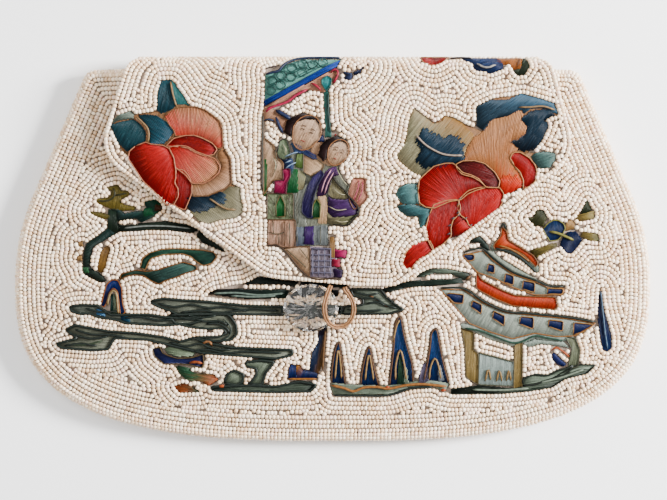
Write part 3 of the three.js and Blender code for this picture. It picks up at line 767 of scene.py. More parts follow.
# Gilt paper wound on silk and couched: worn so thin that the tan core shows, with only a low metal gleam,
# in flecks about a millimetre long
gilt_thread = new_material("worn_gilt_thread")
gilt_flecks_per_mm = 0.9
gilt_place = add_node(gilt_thread, "ShaderNodeTexCoord")
gilt_tone = add_node(gilt_thread, "ShaderNodeAttribute", attribute_name="thread_tone")
gilt_wear = add_node(gilt_thread, "ShaderNodeTexNoise", {
    "Vector": gilt_place.outputs["Object"], "Scale": gilt_flecks_per_mm / MM, "Detail": 3.0})
gilt_metal = add_node(gilt_thread, "ShaderNodeMapRange", {
    "Value": gilt_wear.outputs["Fac"], "From Min": 0.5, "From Max": 0.7, "To Min": 0.0, "To Max": 0.35})
gilt_scale = add_node(gilt_thread, "ShaderNodeMapRange", {
    "Value": gilt_wear.outputs["Fac"], "From Min": 0.3, "From Max": 0.7, "To Min": 0.8, "To Max": 1.2})
gilt_colour = add_node(gilt_thread, "ShaderNodeVectorMath", {
    0: gilt_tone.outputs["Color"], "Scale": gilt_scale.outputs["Result"]}, operation="SCALE")
add_node(gilt_thread, "ShaderNodeBsdfPrincipled", {
    "Base Color": gilt_colour.outputs["Vector"], "Metallic": gilt_metal.outputs["Result"], "Roughness": 0.5,
    "Specular IOR Level": 0.2})

# Left peony: an old Chinese silk flower in reds, pink and peach over teal leaves, cut out of its own ground
# and applied near the flap's left edge. Each petal is edged with couched gilt.
peony = Motif("left_peony", on_flap, gilt="#d9a488")
peony.satin(
    "-61,124.5 -61.5,118 -69,116.8 -76,116 -78,113.2 -77,109.5 -74.5,104 -71.5,101.5 -66,93.8 -56.5,85.8 "
    "-51.8,83.8 -48,80.6 -44,78.8 -34.4,80.6 -32.2,83.2 -33.2,90.6 -36,92.3 -36.4,101.3 -39.2,105.8 "
    "-39.2,112.3 -41.3,115.2 -48.5,119 -51,119.7 -54.2,124.8 -57.2,128.2 -60.2,128.2", "#a07c5c", lay=70,
    pile=-1)
peony.satin(
    "-62,124.5 -62,118 -60.5,117 -57,118.3 -55.4,120 -56.5,124 -57.5,129 -60.5,129", "#24424c #305660",
    lay=78)
peony.satin(
    "-56.5,124 -54.9,120.2 -50.9,120.2 -52,122 -54,125 -57,129 -57.5,126.5", "#3d7474 #4c8280", lay=100)
peony.couch("-57.4,128.5 -56.5,124 -55.2,119.6", "#a98f6d")
peony.satin("-78.5,113.8 -76,116.5 -71.5,118 -70.3,116.8 -70.3,115.4 -75,114.8", "#6f7f78 #8a9488", lay=25)
peony.satin(
    "-78.6,113.2 -75,114.3 -70.2,115.2 -67.5,113 -66,110.5 -66.2,107.5 -69,105 -73,103.6 -75.5,106 "
    "-77.5,110", "#22404a #2c525a #284a52", lay=62)
peony.satin(
    "-69,116.5 -66,116.8 -62,116.3 -58.5,114 -56.2,110.5 -57.5,108.3 -59.5,106.3 -64.5,106.3 -65,109 "
    "-65.2,112 -67.5,115", "#264852 #2b525e #2e5a6c", lay=-32)
peony.couch("-69.5,116 -67.3,114 -65.5,112 -64.9,109.5 -65.3,106.8", "#a98f6d")
peony.satin(
    "-59.5,116 -57,118.3 -54,119.3 -48.5,119.5 -45,118.3 -42.5,116.5 -40,114.5 -38.9,111.5 -38.8,108 "
    "-38.6,105 -40.5,104.5 -43,107 -47,109 -51,109.3 -55.5,109 -56,111 -58,113.5",
    "#e0705f #e89a88 #dcae90 #d9ac8c", fan="-50,98", shade="-51,109 -46,119", edge="#9c7452")
peony.petal(
    "-58.5,105.8 -56,107.8 -52,108.8 -49,108.9 -46,107.8 -42.5,106 -41.2,104.3 -42,103 -45,102.3 "
    "-48,103.5 -51,105.2 -54,105.7", "#b81020 #8a0a14 #a30e1a", lay=-12, pile=1)
peony.petal(
    "-57.5,105 -55,105.3 -51.5,105 -48,103 -44.5,101.8 -41.5,100.5 -40,98 -40.5,96.3 -43,94 -46,92.6 "
    "-49.5,92.7 -51.5,95.5 -53.5,97 -55.3,98.3 -55.6,101", "#de4a44 #e8867a #e5a08c #d9ac8a", fan="-61,112",
    shade="-55,103 -43,95", pile=1)
peony.satin(
    "-38.5,104.8 -37,102.5 -36,101 -35.7,96 -35.5,92.3 -37.5,90.5 -40,89.6 -44,87.9 -49,87.7 -50,90 "
    "-49.5,92.3 -46,92.4 -42.5,93.8 -40,96.5 -39.5,99 -41,101.3 -40.8,103.5", "#b48c6a #dcb89e #e2c2a8",
    fan="-52,101", shade="-42,97 -37,91", edge="#8d6a4a")
peony.petal(
    "-66,106.5 -64.5,105.8 -60,105.3 -58,104.4 -56.5,101.5 -55.8,97 -55.8,94 -56.3,92.5 -55,90.5 -54.8,88 "
    "-56.2,85.3 -58.3,85 -60,87 -63.5,90.5 -66.5,93.2 -69,97 -71.9,101.3 -71.5,103.5 -69.5,105.2",
    "#c71c26 #cc2230 #b3141e #a01018", fan="-52,108", shade="-58,103 -69,97", pile=2)
peony.petal(
    "-54.8,97 -53,96.8 -51,94.5 -50,91.5 -50.3,88.5 -51.3,86 -52.3,83.3 -54.5,84.2 -56,85.3 -55,87 "
    "-54.6,90 -55.3,93.3", "#8e0a14 #b00c1a", lay=82)
peony.satin(
    "-50,87.5 -44,87.6 -41,88 -38.5,89.5 -36.5,91.3 -32.8,91 -32.5,87.5 -31.8,84 -31.8,82 -34,80.2 "
    "-40,79.3 -44,78 -47.5,79.2 -51,83.5", "#8f8b72 #9a947a #a39c84", lay=-35)
peony.satin(
    "-50,87.5 -44,87.6 -41,88 -38.5,88.8 -38,86.5 -41,84.6 -44,83.6 -47,82.2 -50,82.8 -51,84",
    "#1a2b38 #203444 #283e4e", lay=-30, shade="-49,84 -39,88", pile=1, jag=1.6)
peony.couch("-43.5,87 -38,83.5 -34,83", "#a98f6d")
peony.sew()

# Right peony: its pair, with a tan heart and navy leaves, applied near the flap's right edge. Small grey
# knots sit along the folds of its lowest petals.
peony = Motif("right_peony", on_flap)
peony.satin(
    "23.4,102.3 25,99.6 31,96 33,93 29,91.5 24,90.8 23.4,88.5 24,83.5 31,80.8 31,77.5 34.2,77 34.5,71.6 "
    "28.4,70.4 25.6,66 26.6,63 35.5,69.6 49.5,77.6 57.4,82.4 60.2,88.4 66,90.6 70.5,92 71.8,98 76.2,98.2 "
    "78.5,101.4 73.5,103.2 69,103.2 71.2,105.4 75.4,112 74,115.2 79.6,116.6 79,119.6 67,123.8 57,122.4 "
    "51.6,120 51.4,115.6 53,110.6 44,114.6 39,115.6 36.5,113.6 29.2,117.8 27,108", "#a07c5c", lay=50,
    pile=-1)
peony.satin(
    "28.8,118.8 33,115.8 36,113.5 38.8,114.5 39.5,116.2 43,115.5 46,113.8 50,109.8 49.5,108 47.5,105.8 "
    "46.5,102 46,100.3 40,99.2 36,98 33,96 31.5,94.8 28,96.5 24.5,99.5 22.7,102.3 25.5,105.8 26.3,110 "
    "27,114.5", "#a89f83 #9d9a80 #b0a488 #a8834f", lay=52, shade="24,100 43,116")
peony.satin(
    "31.8,112 35,109.5 39,108 41.5,109 43.5,108.5 46,105.5 46,100.5 44,100 37,98.3 33,98 30,100.5 "
    "31,103.5 31.5,105 29.5,107.5 31,109.5", "#1c303e #264052 #1e3444", lay=48, pile=1, jag=1.8)
peony.couch("29.5,109.3 33,105.8 38,103 42,102.2 46,102.2", "#c9b9ac")
peony.satin(
    "50,108.5 52,109.8 54.5,112 55.5,114.5 58,115.5 61,115.8 65,118 66.8,118.3 67.5,116.8 66.5,115 "
    "68.7,112.5 68.3,110 66,108 63,107.2 65.5,104.5 63.8,102.5 62.8,101 63.5,98.5 66,96 67.3,93.5 66.8,91 "
    "64.5,90 61.5,89 59.5,90.8 58.5,94 57,97 54,99.5 50,100.5 46.8,100.3 47,103 48,105.5",
    "#e0602f #c98a5c #c39169 #d0a079 #dcb28e", fan="57,80", shade="62,90 58,114", jag=0.5)
peony.satin(
    "61,89.2 59.6,91 59.4,94 62,95.4 65.6,94.4 66.6,92 64.4,90.2", "#e0502a #d8743f", fan="57,80",
    shade="62,89 62,96", pile=1, jag=1.4)
peony.satin(
    "50.8,119.5 56,122 62,122 67,124.2 72,122.8 78.5,120.8 80,117 78,117.5 75,119 70,118.8 67.5,116.9 "
    "66.8,118.4 62,116.2 57,115 54.5,112.5 53.5,110.8 51,113", "#2c3f4c #3c5566 #4c6c80", lay=38,
    shade="60,115 68,124")
peony.couch("66,119.3 70,119.3 74.5,119.6 78.8,118.4", "#a98f6d")
peony.satin(
    "66.5,115 70,117.8 75,118.8 77.8,117.8 78.5,116.5 74.5,115 76.5,113 75.5,110.5 74,107.5 71.5,104.5 "
    "67,103.8 65.5,105 62.5,107 66,108.5 68.5,110.5 68.8,112.8", "#12242e #1a3646 #16303e", lay=58, jag=0.8)
peony.satin(
    "70.3,102 72,103.3 76,103.6 79,103 79.2,101.3 77.5,98.5 76,97.8 73,98 71,100", "#4f6b68 #5f7a74",
    lay=20)
peony.petal(
    "63.2,101.5 64,102.9 66.5,102.9 69.5,101 71.5,98.5 72,96 71.5,93.5 69.8,91.8 67.8,90.8 68,93.5 "
    "66.8,96.5 64.8,98.8", "#8a0410 #b8161c #a30e18", lay=70)
peony.petal(
    "31,93.5 33.5,95.8 36,98 40,99 42.5,99 44,97.5 45.5,95.8 49,94.8 51.5,93.5 53.8,91 50.5,90.3 47.5,89 "
    "45.2,87 41,86.3 38,85 35.8,84 33,84.3 31,85.5 30.6,89.5", "#b82a20 #b01a1a #a01216 #8c0a10",
    fan="49,82", shade="33,88 52,93", pile=1)
peony.petal(
    "43.8,98.8 46,99.8 50,99.9 53.5,99 57,96 58.7,93 58.5,91.2 54.5,91.3 52.5,93.3 49.5,95 46,95.8 "
    "44.5,97.3", "#540206 #700a0e #600408", lay=-18, pile=2)
peony.petal(
    "45.3,86.8 48,89.3 51,90.3 55,90.8 59,90.3 60.2,88.5 59.5,85.5 57.5,82 53.5,78.8 50,77 48.3,77.8 "
    "47.8,79.8 45.5,81.3 44.5,83.5", "#9c1c1c #c8362a #b02822 #cc4030", fan="49,74", shade="47,85 58,84")
peony.petal(
    "36,84.5 40,85.8 44,86.3 44.8,84 44.2,81.5 42,79.5 41.3,76.5 41.5,74 38.5,71 35.5,69.2 34,72.5 "
    "33.3,76.5 34.5,81", "#a80c18 #b41420 #94101a", lay=78)
peony.satin("41,73 41.6,77 43,80 44.6,82.6 46.4,80.6 48.6,77.6 50,76.6 46,74.4", "#8c1016 #a0141c", lay=40)
peony.satin("42.8,73.8 42.5,77 44.5,79 46.5,79.3 48,78 49,76.8 45.5,75", "#b0101c #c01824", lay=40, pile=1)
peony.petal(
    "25,64.5 25.8,67 28,70 31,71.5 34,71.8 35.2,69.5 34.5,68.3 30,65.5 27.5,62.5 26,62.3",
    "#c4181c #b01218", lay=42)
peony.satin(
    "22.5,88.5 23.5,91 26,92.2 29.8,92.2 30.3,88 30.8,85.3 27,84.5 24,85.5", "#5d8688 #6f9492", lay=25)
peony.satin(
    "23,84.5 28,85 33,83.8 34.8,83 34,80.5 32.8,78 30.8,76.8 30.3,80.8 26,80.8 23.3,82.8",
    "#3f6468 #4e7476", lay=15)
knot_across, knot_up = 0.5, 0.3
for x, y in ((45, 87), (44.5, 85), (44.3, 82), (42.5, 80), (41.3, 77.5), (41, 74.5), (44.5, 81), (47, 80),
             (48.8, 77.5)):
    knot = f"{x - knot_across},{y - knot_up} {x + knot_across},{y + knot_up}"
    peony.couch(knot, "#5f6268", 1.1, pile=3)
peony.sew()

# Figure group: a panel cut from a robe, with two people under a parasol, in fine flat silks. A dark cord
# covers its cut edge on the left and below.
figures = Motif("figure_group", on_flap)
figures.satin(
    "-17,89 -16.6,97.4 -14,103.4 -10.4,105 -5.4,101.4 -1.6,98.8 2,98.4 3.4,94.4 8.4,88 8.8,81.8 5.4,77.6 "
    "-1.8,77.4 -1.6,70.6 -13.4,70 -13.8,79 -16.6,79.6", "#8b8c7c #7c7e72", lay=80, pile=-1)
figures.satin(
    "-7.4,106 -5.2,108.6 -3.2,107 -1.4,101.6 0.6,98.4 -3.6,98.2 -7.8,101.4", "#d8baa0 #cfae92", lay=70,
    pile=-1)
figures.satin(
    "-23.7,131 -21,131.7 -19,132 -18,133.8 -16,135.3 -13,136.7 -9,137.2 3.3,137.1 1,135.6 -24,121.8",
    "#80b0a8 #90c0b6 #84b4ac #70a098", lay=28, shade="-23,122 0,138")
cell_wide, cell_tall = 1.75, 1.55
for cell_across, cell_up in ((-21.4, 128.8), (-21.9, 125.2), (-18.0, 130.6), (-18.3, 127.2), (-14.4, 133.4),
                              (-14.6, 130.1), (-10.6, 134.9), (-10.8, 131.8), (-7.0, 134.6), (-3.4, 135.4)):
    turn = np.linspace(0, 2 * math.pi, 9)
    cell = " ".join(f"{cell_across + cell_wide * math.cos(a):.2f},{cell_up + cell_tall * math.sin(a):.2f}"
                    for a in turn)
    figures.couch(cell, "#23504a", 0.5)
figures.couch(
    "-23.8,131 -21,131.8 -19,132.3 -17.6,134.2 -15.5,135.8 -12.5,136.9 -9,137.3 -3,137.4 3.2,137.3",
    "#24324e", 0.9)
figures.satin(
    "-24.2,121.6 -24,119.8 -12,126.6 1.6,134.2 2.8,136.4", "#2a4f9a #1f4690 #2c56a0", lay=29, pile=2)
figures.satin(
    "-24,119.6 -23.6,117 -22,118.8 -16,121.4 -13,123.6 -9,125.4 -3,124.8 1.4,129.4 1.8,132.8 1,133.6 "
    "-12,126.2", "#d9b09a #e0bba8 #d2a890", lay=30)
figures.couch("-23.5,117.5 -22,119 -16,121.2 -13,123.5 -9,125.6", "#c23a6a", 1.0)
figures.couch("-0.5,131.5 0.2,132.7 1.3,132.7 2,131.5 1.2,129.5 0.2,128", "#c0305f", 0.8)
figures.couch("-7.5,128 -5.6,126.8 -4,125.3", "#c0305f", 0.9)
figures.satin(
    "-1.8,130.6 -4,129.2 -3.8,127.5 -2.2,125 -0.5,127.5 -0.3,129.5", "#2f7c80 #58b0b0 #4aa0a0", lay=85,
    pile=2, edge="#2c5f58")
figures.satin(
    "-3.2,125 -1.5,125 -1.4,118 -0.6,110 -0.5,108.9 -2.4,108.9 -2.8,118", "#4f7a72 #3f6a62", lay=88, pile=1)
figures.couch("-1.5,124.6 -1.4,117 -0.7,110", "#24443f", 0.6)
figures.couch("-3,119 -1.8,119", "#a03060", 0.9)
figures.satin(
    "-24.4,119.5 -21.5,119 -20,118.2 -16,114.8 -17.2,110.2 -19,112 -20.3,114.2 -22,114.9 -24.4,114.4",
    "#d7b39a #c9a58c", lay=35)
figures.couch("-20,118.2 -17.5,116.7 -14.6,115", "#1c2f55", 1.5)
figures.couch("-24.4,114.6 -22.4,115 -20.6,114.4", "#3a4560", 0.7)
figures.couch("-20,115.8 -19,113 -17.5,110.2", "#1c2f55", 1.1)
face_step = 0.25
face_curve = 0.4
face_depth = silk_depth - 3.4 * pile_step
for face_x, face_y, wide, tall, lean, brim in (
        (-9.2, 110.2, 5.9, 7.2, -24, "-17.2,110.5 -16.3,114 -13.8,116.2 -10.5,117.4 -5.6,115.6 -4.4,113 "
         "-6,114.9 -9.5,115 -12,114.2 -13.7,112 -14.8,109.2"),
        (1.9, 103.2, 4.3, 5.4, -26, "-5.2,102.4 -4.2,105.5 -1.7,108.2 1.6,109 4.6,107.8 5.9,105.6 "
         "3.6,107.3 0.8,106.6 -1,104.6 -2.2,101.4 -3.2,100.2")):
    tilt = math.radians(lean)

    def on_face(across, up):
        """A place on a head from shares of its half width and half height, turned with its tilt."""
        x = across * wide
        y = up * tall
        return (f"{face_x + x * math.cos(tilt) - y * math.sin(tilt):.2f},"
                f"{face_y + x * math.sin(tilt) + y * math.cos(tilt):.2f}")

    oval = " ".join(on_face(0.86 * math.cos(t) * (1 - 0.1 * (math.sin(t) < 0)), 0.9 * math.sin(t))
                    for t in np.linspace(0, 2 * math.pi, 19)[:-1])
    figures.satin(oval, "#e2c4a8 #ecd2ba #efd8c4", lay=64, pile=2, edge="#b08460")
    figures.satin(brim, "#33201c #241613", lay=20, pile=3, jag=0.3)
    for feature, colour, width in (
            ((-0.40, 0.10, -0.16, 0.10), "#4a342c", 0.34), ((0.16, 0.10, 0.40, 0.10), "#4a342c", 0.34),
            ((-0.44, 0.27, -0.14, 0.29), "#5a4034", 0.28), ((0.14, 0.29, 0.44, 0.27), "#5a4034", 0.28),
            ((0.00, 0.02, 0.03, -0.20), "#b98a6c", 0.26), ((-0.14, -0.44, 0.14, -0.44), "#a8403c", 0.36)):
        line = f"{on_face(*feature[:2])} {on_face(*feature[2:])}"
        face_line = smoothed(figures.chart(line), face_curve)
        figures.cords.append((resample(face_line, face_step), dyed(colour), width, face_depth))
figures.couch("0.8,109.2 1.3,109.8", "#a03028", 1.2)
figures.satin("-6.5,107 -5,108.9 -3.2,109.3 -3,107.2", "#26305c #1c2448", lay=20, pile=1)
figures.satin(
    "-14.8,106.6 -12.6,106.6 -10.4,104.8 -5.8,102.4 -5.4,100.4 -10.6,102.8 -13.4,103.4",
    "#5c7490 #26305c #1a2048", lay=-28, pile=2)
figures.satin(
    "-24.3,108.5 -21,106 -20,103 -19,101 -17.3,99.5 -17.5,96 -17.5,93.8 -21,93.4 -24.3,88.2",
    "#ccb096 #d6bca2 #dec6ae", lay=65, shade="-24,92 -19,106", edge="#8a6848")
figures.satin("-24.6,101 -23.3,101.2 -23.2,95 -23.6,88 -24.6,88", "#3f6a3a #2f5a34", lay=88, pile=1)
figures.satin(
    "-19.6,103 -18.6,107.4 -16.4,108.2 -15.4,105.4 -14.6,102 -17.2,100.6 -19,101.4", "#8f9a80 #7d8a70",
    lay=70, pile=1, edge="#3a3a34")
figures.satin("-17.6,100.8 -14,101.2 -13.6,97.4 -14.2,95.6 -17.6,97.2", "#1e2c4c #2a3c60", lay=20, pile=1)
figures.couch(
    "-17,101.6 -14.2,102.9 -11.8,103.4; -16.8,97.4 -14.8,98.9 -12.6,99.8; -17,99.4 -14.4,100.6", "#a9bcd0",
    0.5)
figures.satin("-13,98 -12.8,102.8 -10.5,103 -10.4,97.6", "#5f7a40 #77865a", lay=80, pile=1)
figures.satin(
    "-10.2,104 -5.2,100.6 -2.6,98.6 -4,96.4 -7.5,94.8 -10.4,96.4", "#d8bca0 #e0c8ac", lay=-35,
    edge="#6a5a44")
figures.satin(
    "-20.6,89 -20.4,93.2 -17.2,93.4 -17.6,97.2 -15,97.6 -14.8,95 -16.2,92.2 -16.4,88.6",
    "#a81c62 #901654 #b83070", lay=60, pile=2, edge="#5a1430")
figures.satin("-15.9,88.6 -15.6,94 -14.6,97.6 -12.4,97.6 -12.2,89", "#1f5a34 #2f6a40", lay=80, pile=1)
figures.satin("-12.4,90 -12.4,97 -10.4,97 -9.6,94.6 -10.6,90", "#a39a7c #8f8f74", lay=80)
figures.satin(
    "-13.6,77 -13.8,88.8 -10.6,90.2 -9,92.4 -8.4,90 -10.2,86 -10.9,82 -9.2,80 -9.4,77",
    "#989a90 #8a8e84 #a4a69c", lay=78)
figures.satin(
    "-4,97 -7,94.5 -9,91 -10.5,86 -10.8,82 -9,80.3 -7.3,80 -7.2,84 -6.5,88 -5,92 -3,95.5",
    "#38305c #2a2444 #443c68", lay=70, pile=2, edge="#241c40")
figures.satin(
    "-4.8,91.6 -2.8,96.2 -0.8,97.8 1.2,98.4 2.4,95.6 0.2,94.6 -0.8,91 -2.4,88.2 -5.6,87.6",
    "#4c2c56 #5c3a66", lay=62)
figures.couch("-4,89 -2.6,93.4 -0.4,97.2; -2.8,88.6 -1.6,92.4 0.4,96.2", "#d9b0bc", 0.5)
figures.satin(
    "-7.3,80 -6.9,84.6 -5.6,86.8 -4.3,85 -4.4,80", "#24502f #33643c", lay=86, pile=1, edge="#77703c")
figures.satin("-5,78 -4.2,85 -5.4,87.6 -2.4,88.2 -1.6,84 -2.2,78", "#e0c4a4 #e8ceb2", lay=84)
figures.satin(
    "-0.2,94.4 1.8,91.8 4,89.8 5.8,87.6 4.6,86.6 0,87 -1.8,88.4 -1,91.4", "#8c8468 #9a9274 #7c7660",
    fan="1,84", edge="#3a3428")
figures.satin(
    "-1.6,87.8 0,86.8 4.6,86.6 6,87.2 8.8,83.8 8.8,81.6 5.2,80.6 0,80.4 -1.8,82.4",
    "#472a58 #553866 #3a204c", lay=15, pile=1)
figures.satin(
    "-2.2,82.4 0,80.5 5,80.6 8.8,81.6 7,79.5 5.2,77.5 0,77.6 -2.2,78.2", "#8a8066 #6a7050", lay=12)
figures.couch("0,94.8 1.8,92 4,90 6,87.5 9,84 9,81.5 7,79.5 5.2,77.5 0,77.8", "#2e2a20", 0.6)
figures.satin(
    "7.2,94.2 11.8,94 11.6,90 12.6,87.5 10.8,85.2 7.5,83 6,86 5.6,89", "#dba894 #e2b8a6 #d49a88", lay=60,
    edge="#8d6448")
figures.couch("7.4,86 9,90.5 9.4,93.4; 8.8,85.4 10.4,89.6 10.6,93", "#c0607a", 0.45)
figures.satin("-23,79.5 -23,88.7 -13.8,88.7 -13.8,79.5", "#98a084 #a3a88c #8c9678", lay=84, edge="#5c4a34")
figures.satin(
    "-19.8,80.4 -20,84.6 -18.4,88.2 -16.8,85 -16.8,80.6", "#1f5c30 #2f6c3c", lay=86, pile=1, edge="#6a5a34")
figures.satin(
    "-22.8,70.6 -22.8,79.5 -13,79.5 -13,69.8 -18,69.8", "#d8b8a4 #e0c4b0 #ccaa94", lay=86, edge="#6e5038")
figures.couch("-16.9,79 -16.8,74 -17,70.2", "#6e5038", 0.6)
figures.satin("-13.6,77 -13.6,70 -10,70.4 -9.8,77", "#6d7480 #7c8490", lay=86)
figures.satin("-10,77.2 -10,70.6 -6.8,70.6 -6.8,77.2", "#3c2358 #4a2e68", lay=82, pile=1)
figures.satin("-6.8,77.5 -6.8,70.5 -1.6,70.5 -1.8,77.6", "#8d9190 #7d8282", lay=86)
figures.satin("-17.2,69.2 -12,70 -8,70 -7.8,62 -8.2,59.6 -11,62", "#ccb094 #d4bca4", lay=60, edge="#6e5038")
figures.satin("-8,70 -0.6,69.4 1.4,66.2 1.2,62.6 0.4,58.8 -8,59.4", "#a79aa6 #b5aab2 #9c8e9e", lay=86)
check_pitch = 2.1
for row in range(5):
    up = 60.8 + row * check_pitch
    figures.couch(f"-7.6,{up:.1f} 0.2,{up:.1f}", "#6c6678", 0.6)
for column in range(4):
    across = -7.0 + column * check_pitch
    figures.couch(f"{across:.1f},59.6 {across:.1f},69.6", "#78748a", 0.5)
figures.satin("-1,66 -1.2,73.5 0.6,73.5 0.6,66", "#a88860 #94744c", lay=88, pile=2)
figures.satin("0,66.2 0.2,69 5.3,68.6 4.6,66.2", "#a01c60 #b43874", lay=10, pile=1)
figures.satin("-0.8,62.8 -0.6,65.6 2.8,65.4 2.6,63", "#8e1a40 #a83058", lay=10, pile=2)
figures.satin("0.4,58.9 0.2,62.4 3.6,61.8 3.4,59.2", "#3a2048 #2c1838", lay=20, pile=1)
figures.couch(
    "-22.6,88.2 -20.2,84.6; -22.8,84.4 -20.4,80.2; -16.4,88.2 -14.2,84.4; -16.6,84 -14.2,80; -15.2,88.4 "
    "-15.3,79.8; -22.8,75 -19,74.4 -16.9,75.2; -21,79.2 -20.8,74.6; -19,74.4 -18.8,70.2; -15.2,79 "
    "-15,70.2; -12.2,89.6 -12.6,84 -12.2,78; -12.6,76.6 -12.4,70.8; -4.2,77 -4.3,70.8; -20.4,104.8 "
    "-19.6,99 -21.4,94.4; -16.2,69 -9.2,62.6; -11.6,69.4 -8.4,65.4", "#54503e", 0.34, pile=2)
figures.couch(
    "-17.6,106.2 -16.4,104.2 -16.8,102.4; -21,101.4 -20,99.2 -20.4,96.6; 1.6,97.2 3.2,94 5.2,91.6; "
    "0.4,90.4 2.6,88.6 4.6,88.2; -1.4,84.2 1.6,82.8 5,83.2; 0.6,79.4 3,78.6 5.6,79", "#c8c2a8", 0.34,
    pile=3)
figures.couch("-22.9,70.4 -18,69.6 -8.4,59.3 2,58.9", "#4a3828", 0.6)
figures.couch("-24.6,117 -24.7,104 -24.7,90", "#4a4438", 0.6)
figures.satin(
    "3.4,132.3 5,131.8 7,131.6 7.2,130.3 6.6,129 4.5,129.3 3.9,129.8 5,130.8", "#2a3350 #343e5e", lay=10)
figures.satin("7.3,132 9,132.6 11.5,134.4 9.6,131.5 8,130.6", "#262c48 #343c5a", lay=45)
figures.couch("-23.7,133.2 -21.5,133.8 -19.6,134.4", "#4a3a38", 0.5)
figures.sew()

# Top petal and top blossom: cut-off ends of larger silk embroideries, applied so that they run up over
# the fold.
top_petal = Motif("top_petal", on_flap)
top_petal.petal(
    "31,138.1 32.5,136 34.5,135 36,134.7 38,135.4 40,136.8 41.5,138.1", "#c23c2c #a82c24", fan="36,146")
top_petal.couch("41.5,137.2 46,137.4 50,137.2", "#2a2430", 0.7)
top_petal.sew()
blossom = Motif("top_blossom", on_flap)
blossom.satin(
    "46,137.4 48,136.3 50.3,135.2 50,133.2 51.5,132.5 54,132.3 56,131.3 57.5,132 60.5,133.2 60.5,135.5 "
    "58.6,138.1 52,138.1 47,138.1", "#1c2c4e #26406c #182544", lay=35)
blossom.couch("51.3,135.3 53,133.9 55.5,133.6 58,134.8", "#b9b4ae", 0.7)
blossom.satin(
    "58.5,138.1 58.8,136.3 60,135.5 62.5,135.8 63.5,134 64.5,133 66.3,133.3 67,135 67.5,138.1",
    "#a5672c #b8803c", lay=70)
blossom.satin(
    "64,132.5 65.2,130.8 68,130.9 69.8,134 69.5,136.5 68.5,137.9 67,133.8", "#2c3428 #3a4432", lay=60)
blossom.sew()

# Pine tree: olive needles over a dark bent trunk with teal and brown roots, in flat silk, applied to the left
# of the front.
ink_green = "#26302a"
pine = Motif("pine_tree", on_front)
pine.satin(
    "-80.5,91 -77,92 -76.3,91.8 -75.8,90 -73.5,89.8 -72.2,89 -73,88 -75.5,87 -75.8,86 -74,84.8 -70,84 "
    "-70.8,83 -76.5,82.8 -81,84.2 -84,85.8 -84,87 -80,87.3 -78.8,88.5 -79,90", "#7d6f38 #8c7d44 #6a6034",
    lay=80)
pine.couch("-78,91 -77.6,88.2 -80,86.4 -83.6,86.4", "#3a3a20", 0.6)
pine.couch("-77.6,88.2 -73.4,89", "#3a3a20", 0.6)
pine.satin("-86.5,82.3 -83.5,82.2 -79.3,81.3 -79.5,80 -82,80 -85,81.3", "#7d6f38 #6a6034", lay=75)
pine.satin(
    "-79.4,83.2 -77.3,82.5 -77,79 -74,79.6 -70,80 -68,78.6 -64,80.8 -60.5,83.5 -61.4,85.4 -63,86.6 "
    "-66.8,85.8 -66,82.8 -70,82.6 -74,81.8 -77,83.8", "#2a3428 #1f3a3c #27453c #1f5038", lay=28,
    shade="-79,80 -61,85")
pine.satin("-67.4,80.6 -67.2,83.4 -64.6,84 -63.6,81.4", "#1f5a3c #2c6c48", lay=70, pile=1)
pine.satin("-63.4,82.4 -63,85.2 -61,84.8 -61,83", "#4a3020 #5c3c28", lay=60, pile=1)
pine.satin("-80.2,83.4 -77.2,82.8 -76.8,79 -76,76.4 -77.5,74.4 -80.2,76.5", "#222c22 #2c3c30", lay=88)
pine.satin(
    "-76.4,77.6 -70,77.9 -65,79 -61,79.2 -55,78.2 -51.5,77.7 -47.6,75.9 -50,75 -58,75.9 -65,76.1 -70,75.6 "
    "-76.2,75.4", "#20281f #2b362c #1d2720", lay=4)
pine.couch("-74,76.6 -66,77.3 -58,77.2 -50.5,76.4", "#8d938e", 0.7)
pine.satin(
    "-47.2,75.6 -45,73.2 -39,69.6 -38.3,68.1 -42,69.8 -46,71.4 -48.4,74.2", "#20281f #2b362c", lay=-38)
pine.satin(
    "-80,76.6 -84,73.6 -88,71.1 -88.9,68 -89.2,63 -88.6,60.4 -86,58.8 -82.8,57.3 -80.8,58 -82,59.6 "
    "-84,60.9 -86.6,62.6 -86.3,67 -85.2,70.1 -82,71.9 -77.4,74.8", "#232c24 #2c3a34 #24403c", fan="-74,64")
for nub in ("-90.8,71.6 -89.4,72 -89.2,70.4 -90.6,70.2", "-91.2,66.4 -89.6,67 -89.5,65.2 -91,65"):
    pine.satin(nub, "#b0926a #a58458", lay=70)
pine.satin("-89.2,62.6 -87.2,62.8 -87,60.8 -88.8,60.4", "#2f5a3c #3c6a48", lay=60, pile=1)
pine.satin(
    "-80.6,70.4 -79.2,69.4 -80.2,66 -81,62.6 -82.4,60.6 -83.6,61.2 -83.4,64.2 -82.6,67.8",
    "#8a6a3c #a3824c #7a5c38", lay=72)
pine.satin(
    "-75.8,58.2 -73,59.6 -70,60 -67,59.6 -64.5,57.8 -61.5,56.6 -59.8,57.8 -55,59.3 -53,60.3 -48,61.8 "
    "-48.3,63.2 -53,64.5 -59,62.7 -62,61.7 -66,61.2 -70,61.7 -75.2,60.3", "#34503e #30463c #34504c #466258",
    lay=20, shade="-75,59 -50,62", edge="#8a6038")
pine.satin(
    "-68.4,62.3 -67.7,65.7 -65,67.8 -61,69 -56,69.3 -46,68.8 -42,68 -41,66.3 -42.9,64 -46,63.2 -48.7,64.9 "
    "-50,66.4 -53,67.4 -60,67.2 -64.6,65.8 -65.8,63.6 -66.5,61.8", "#2d5040 #365c4a #24423c", lay=12,
    edge="#a8835c")
pine.sew()

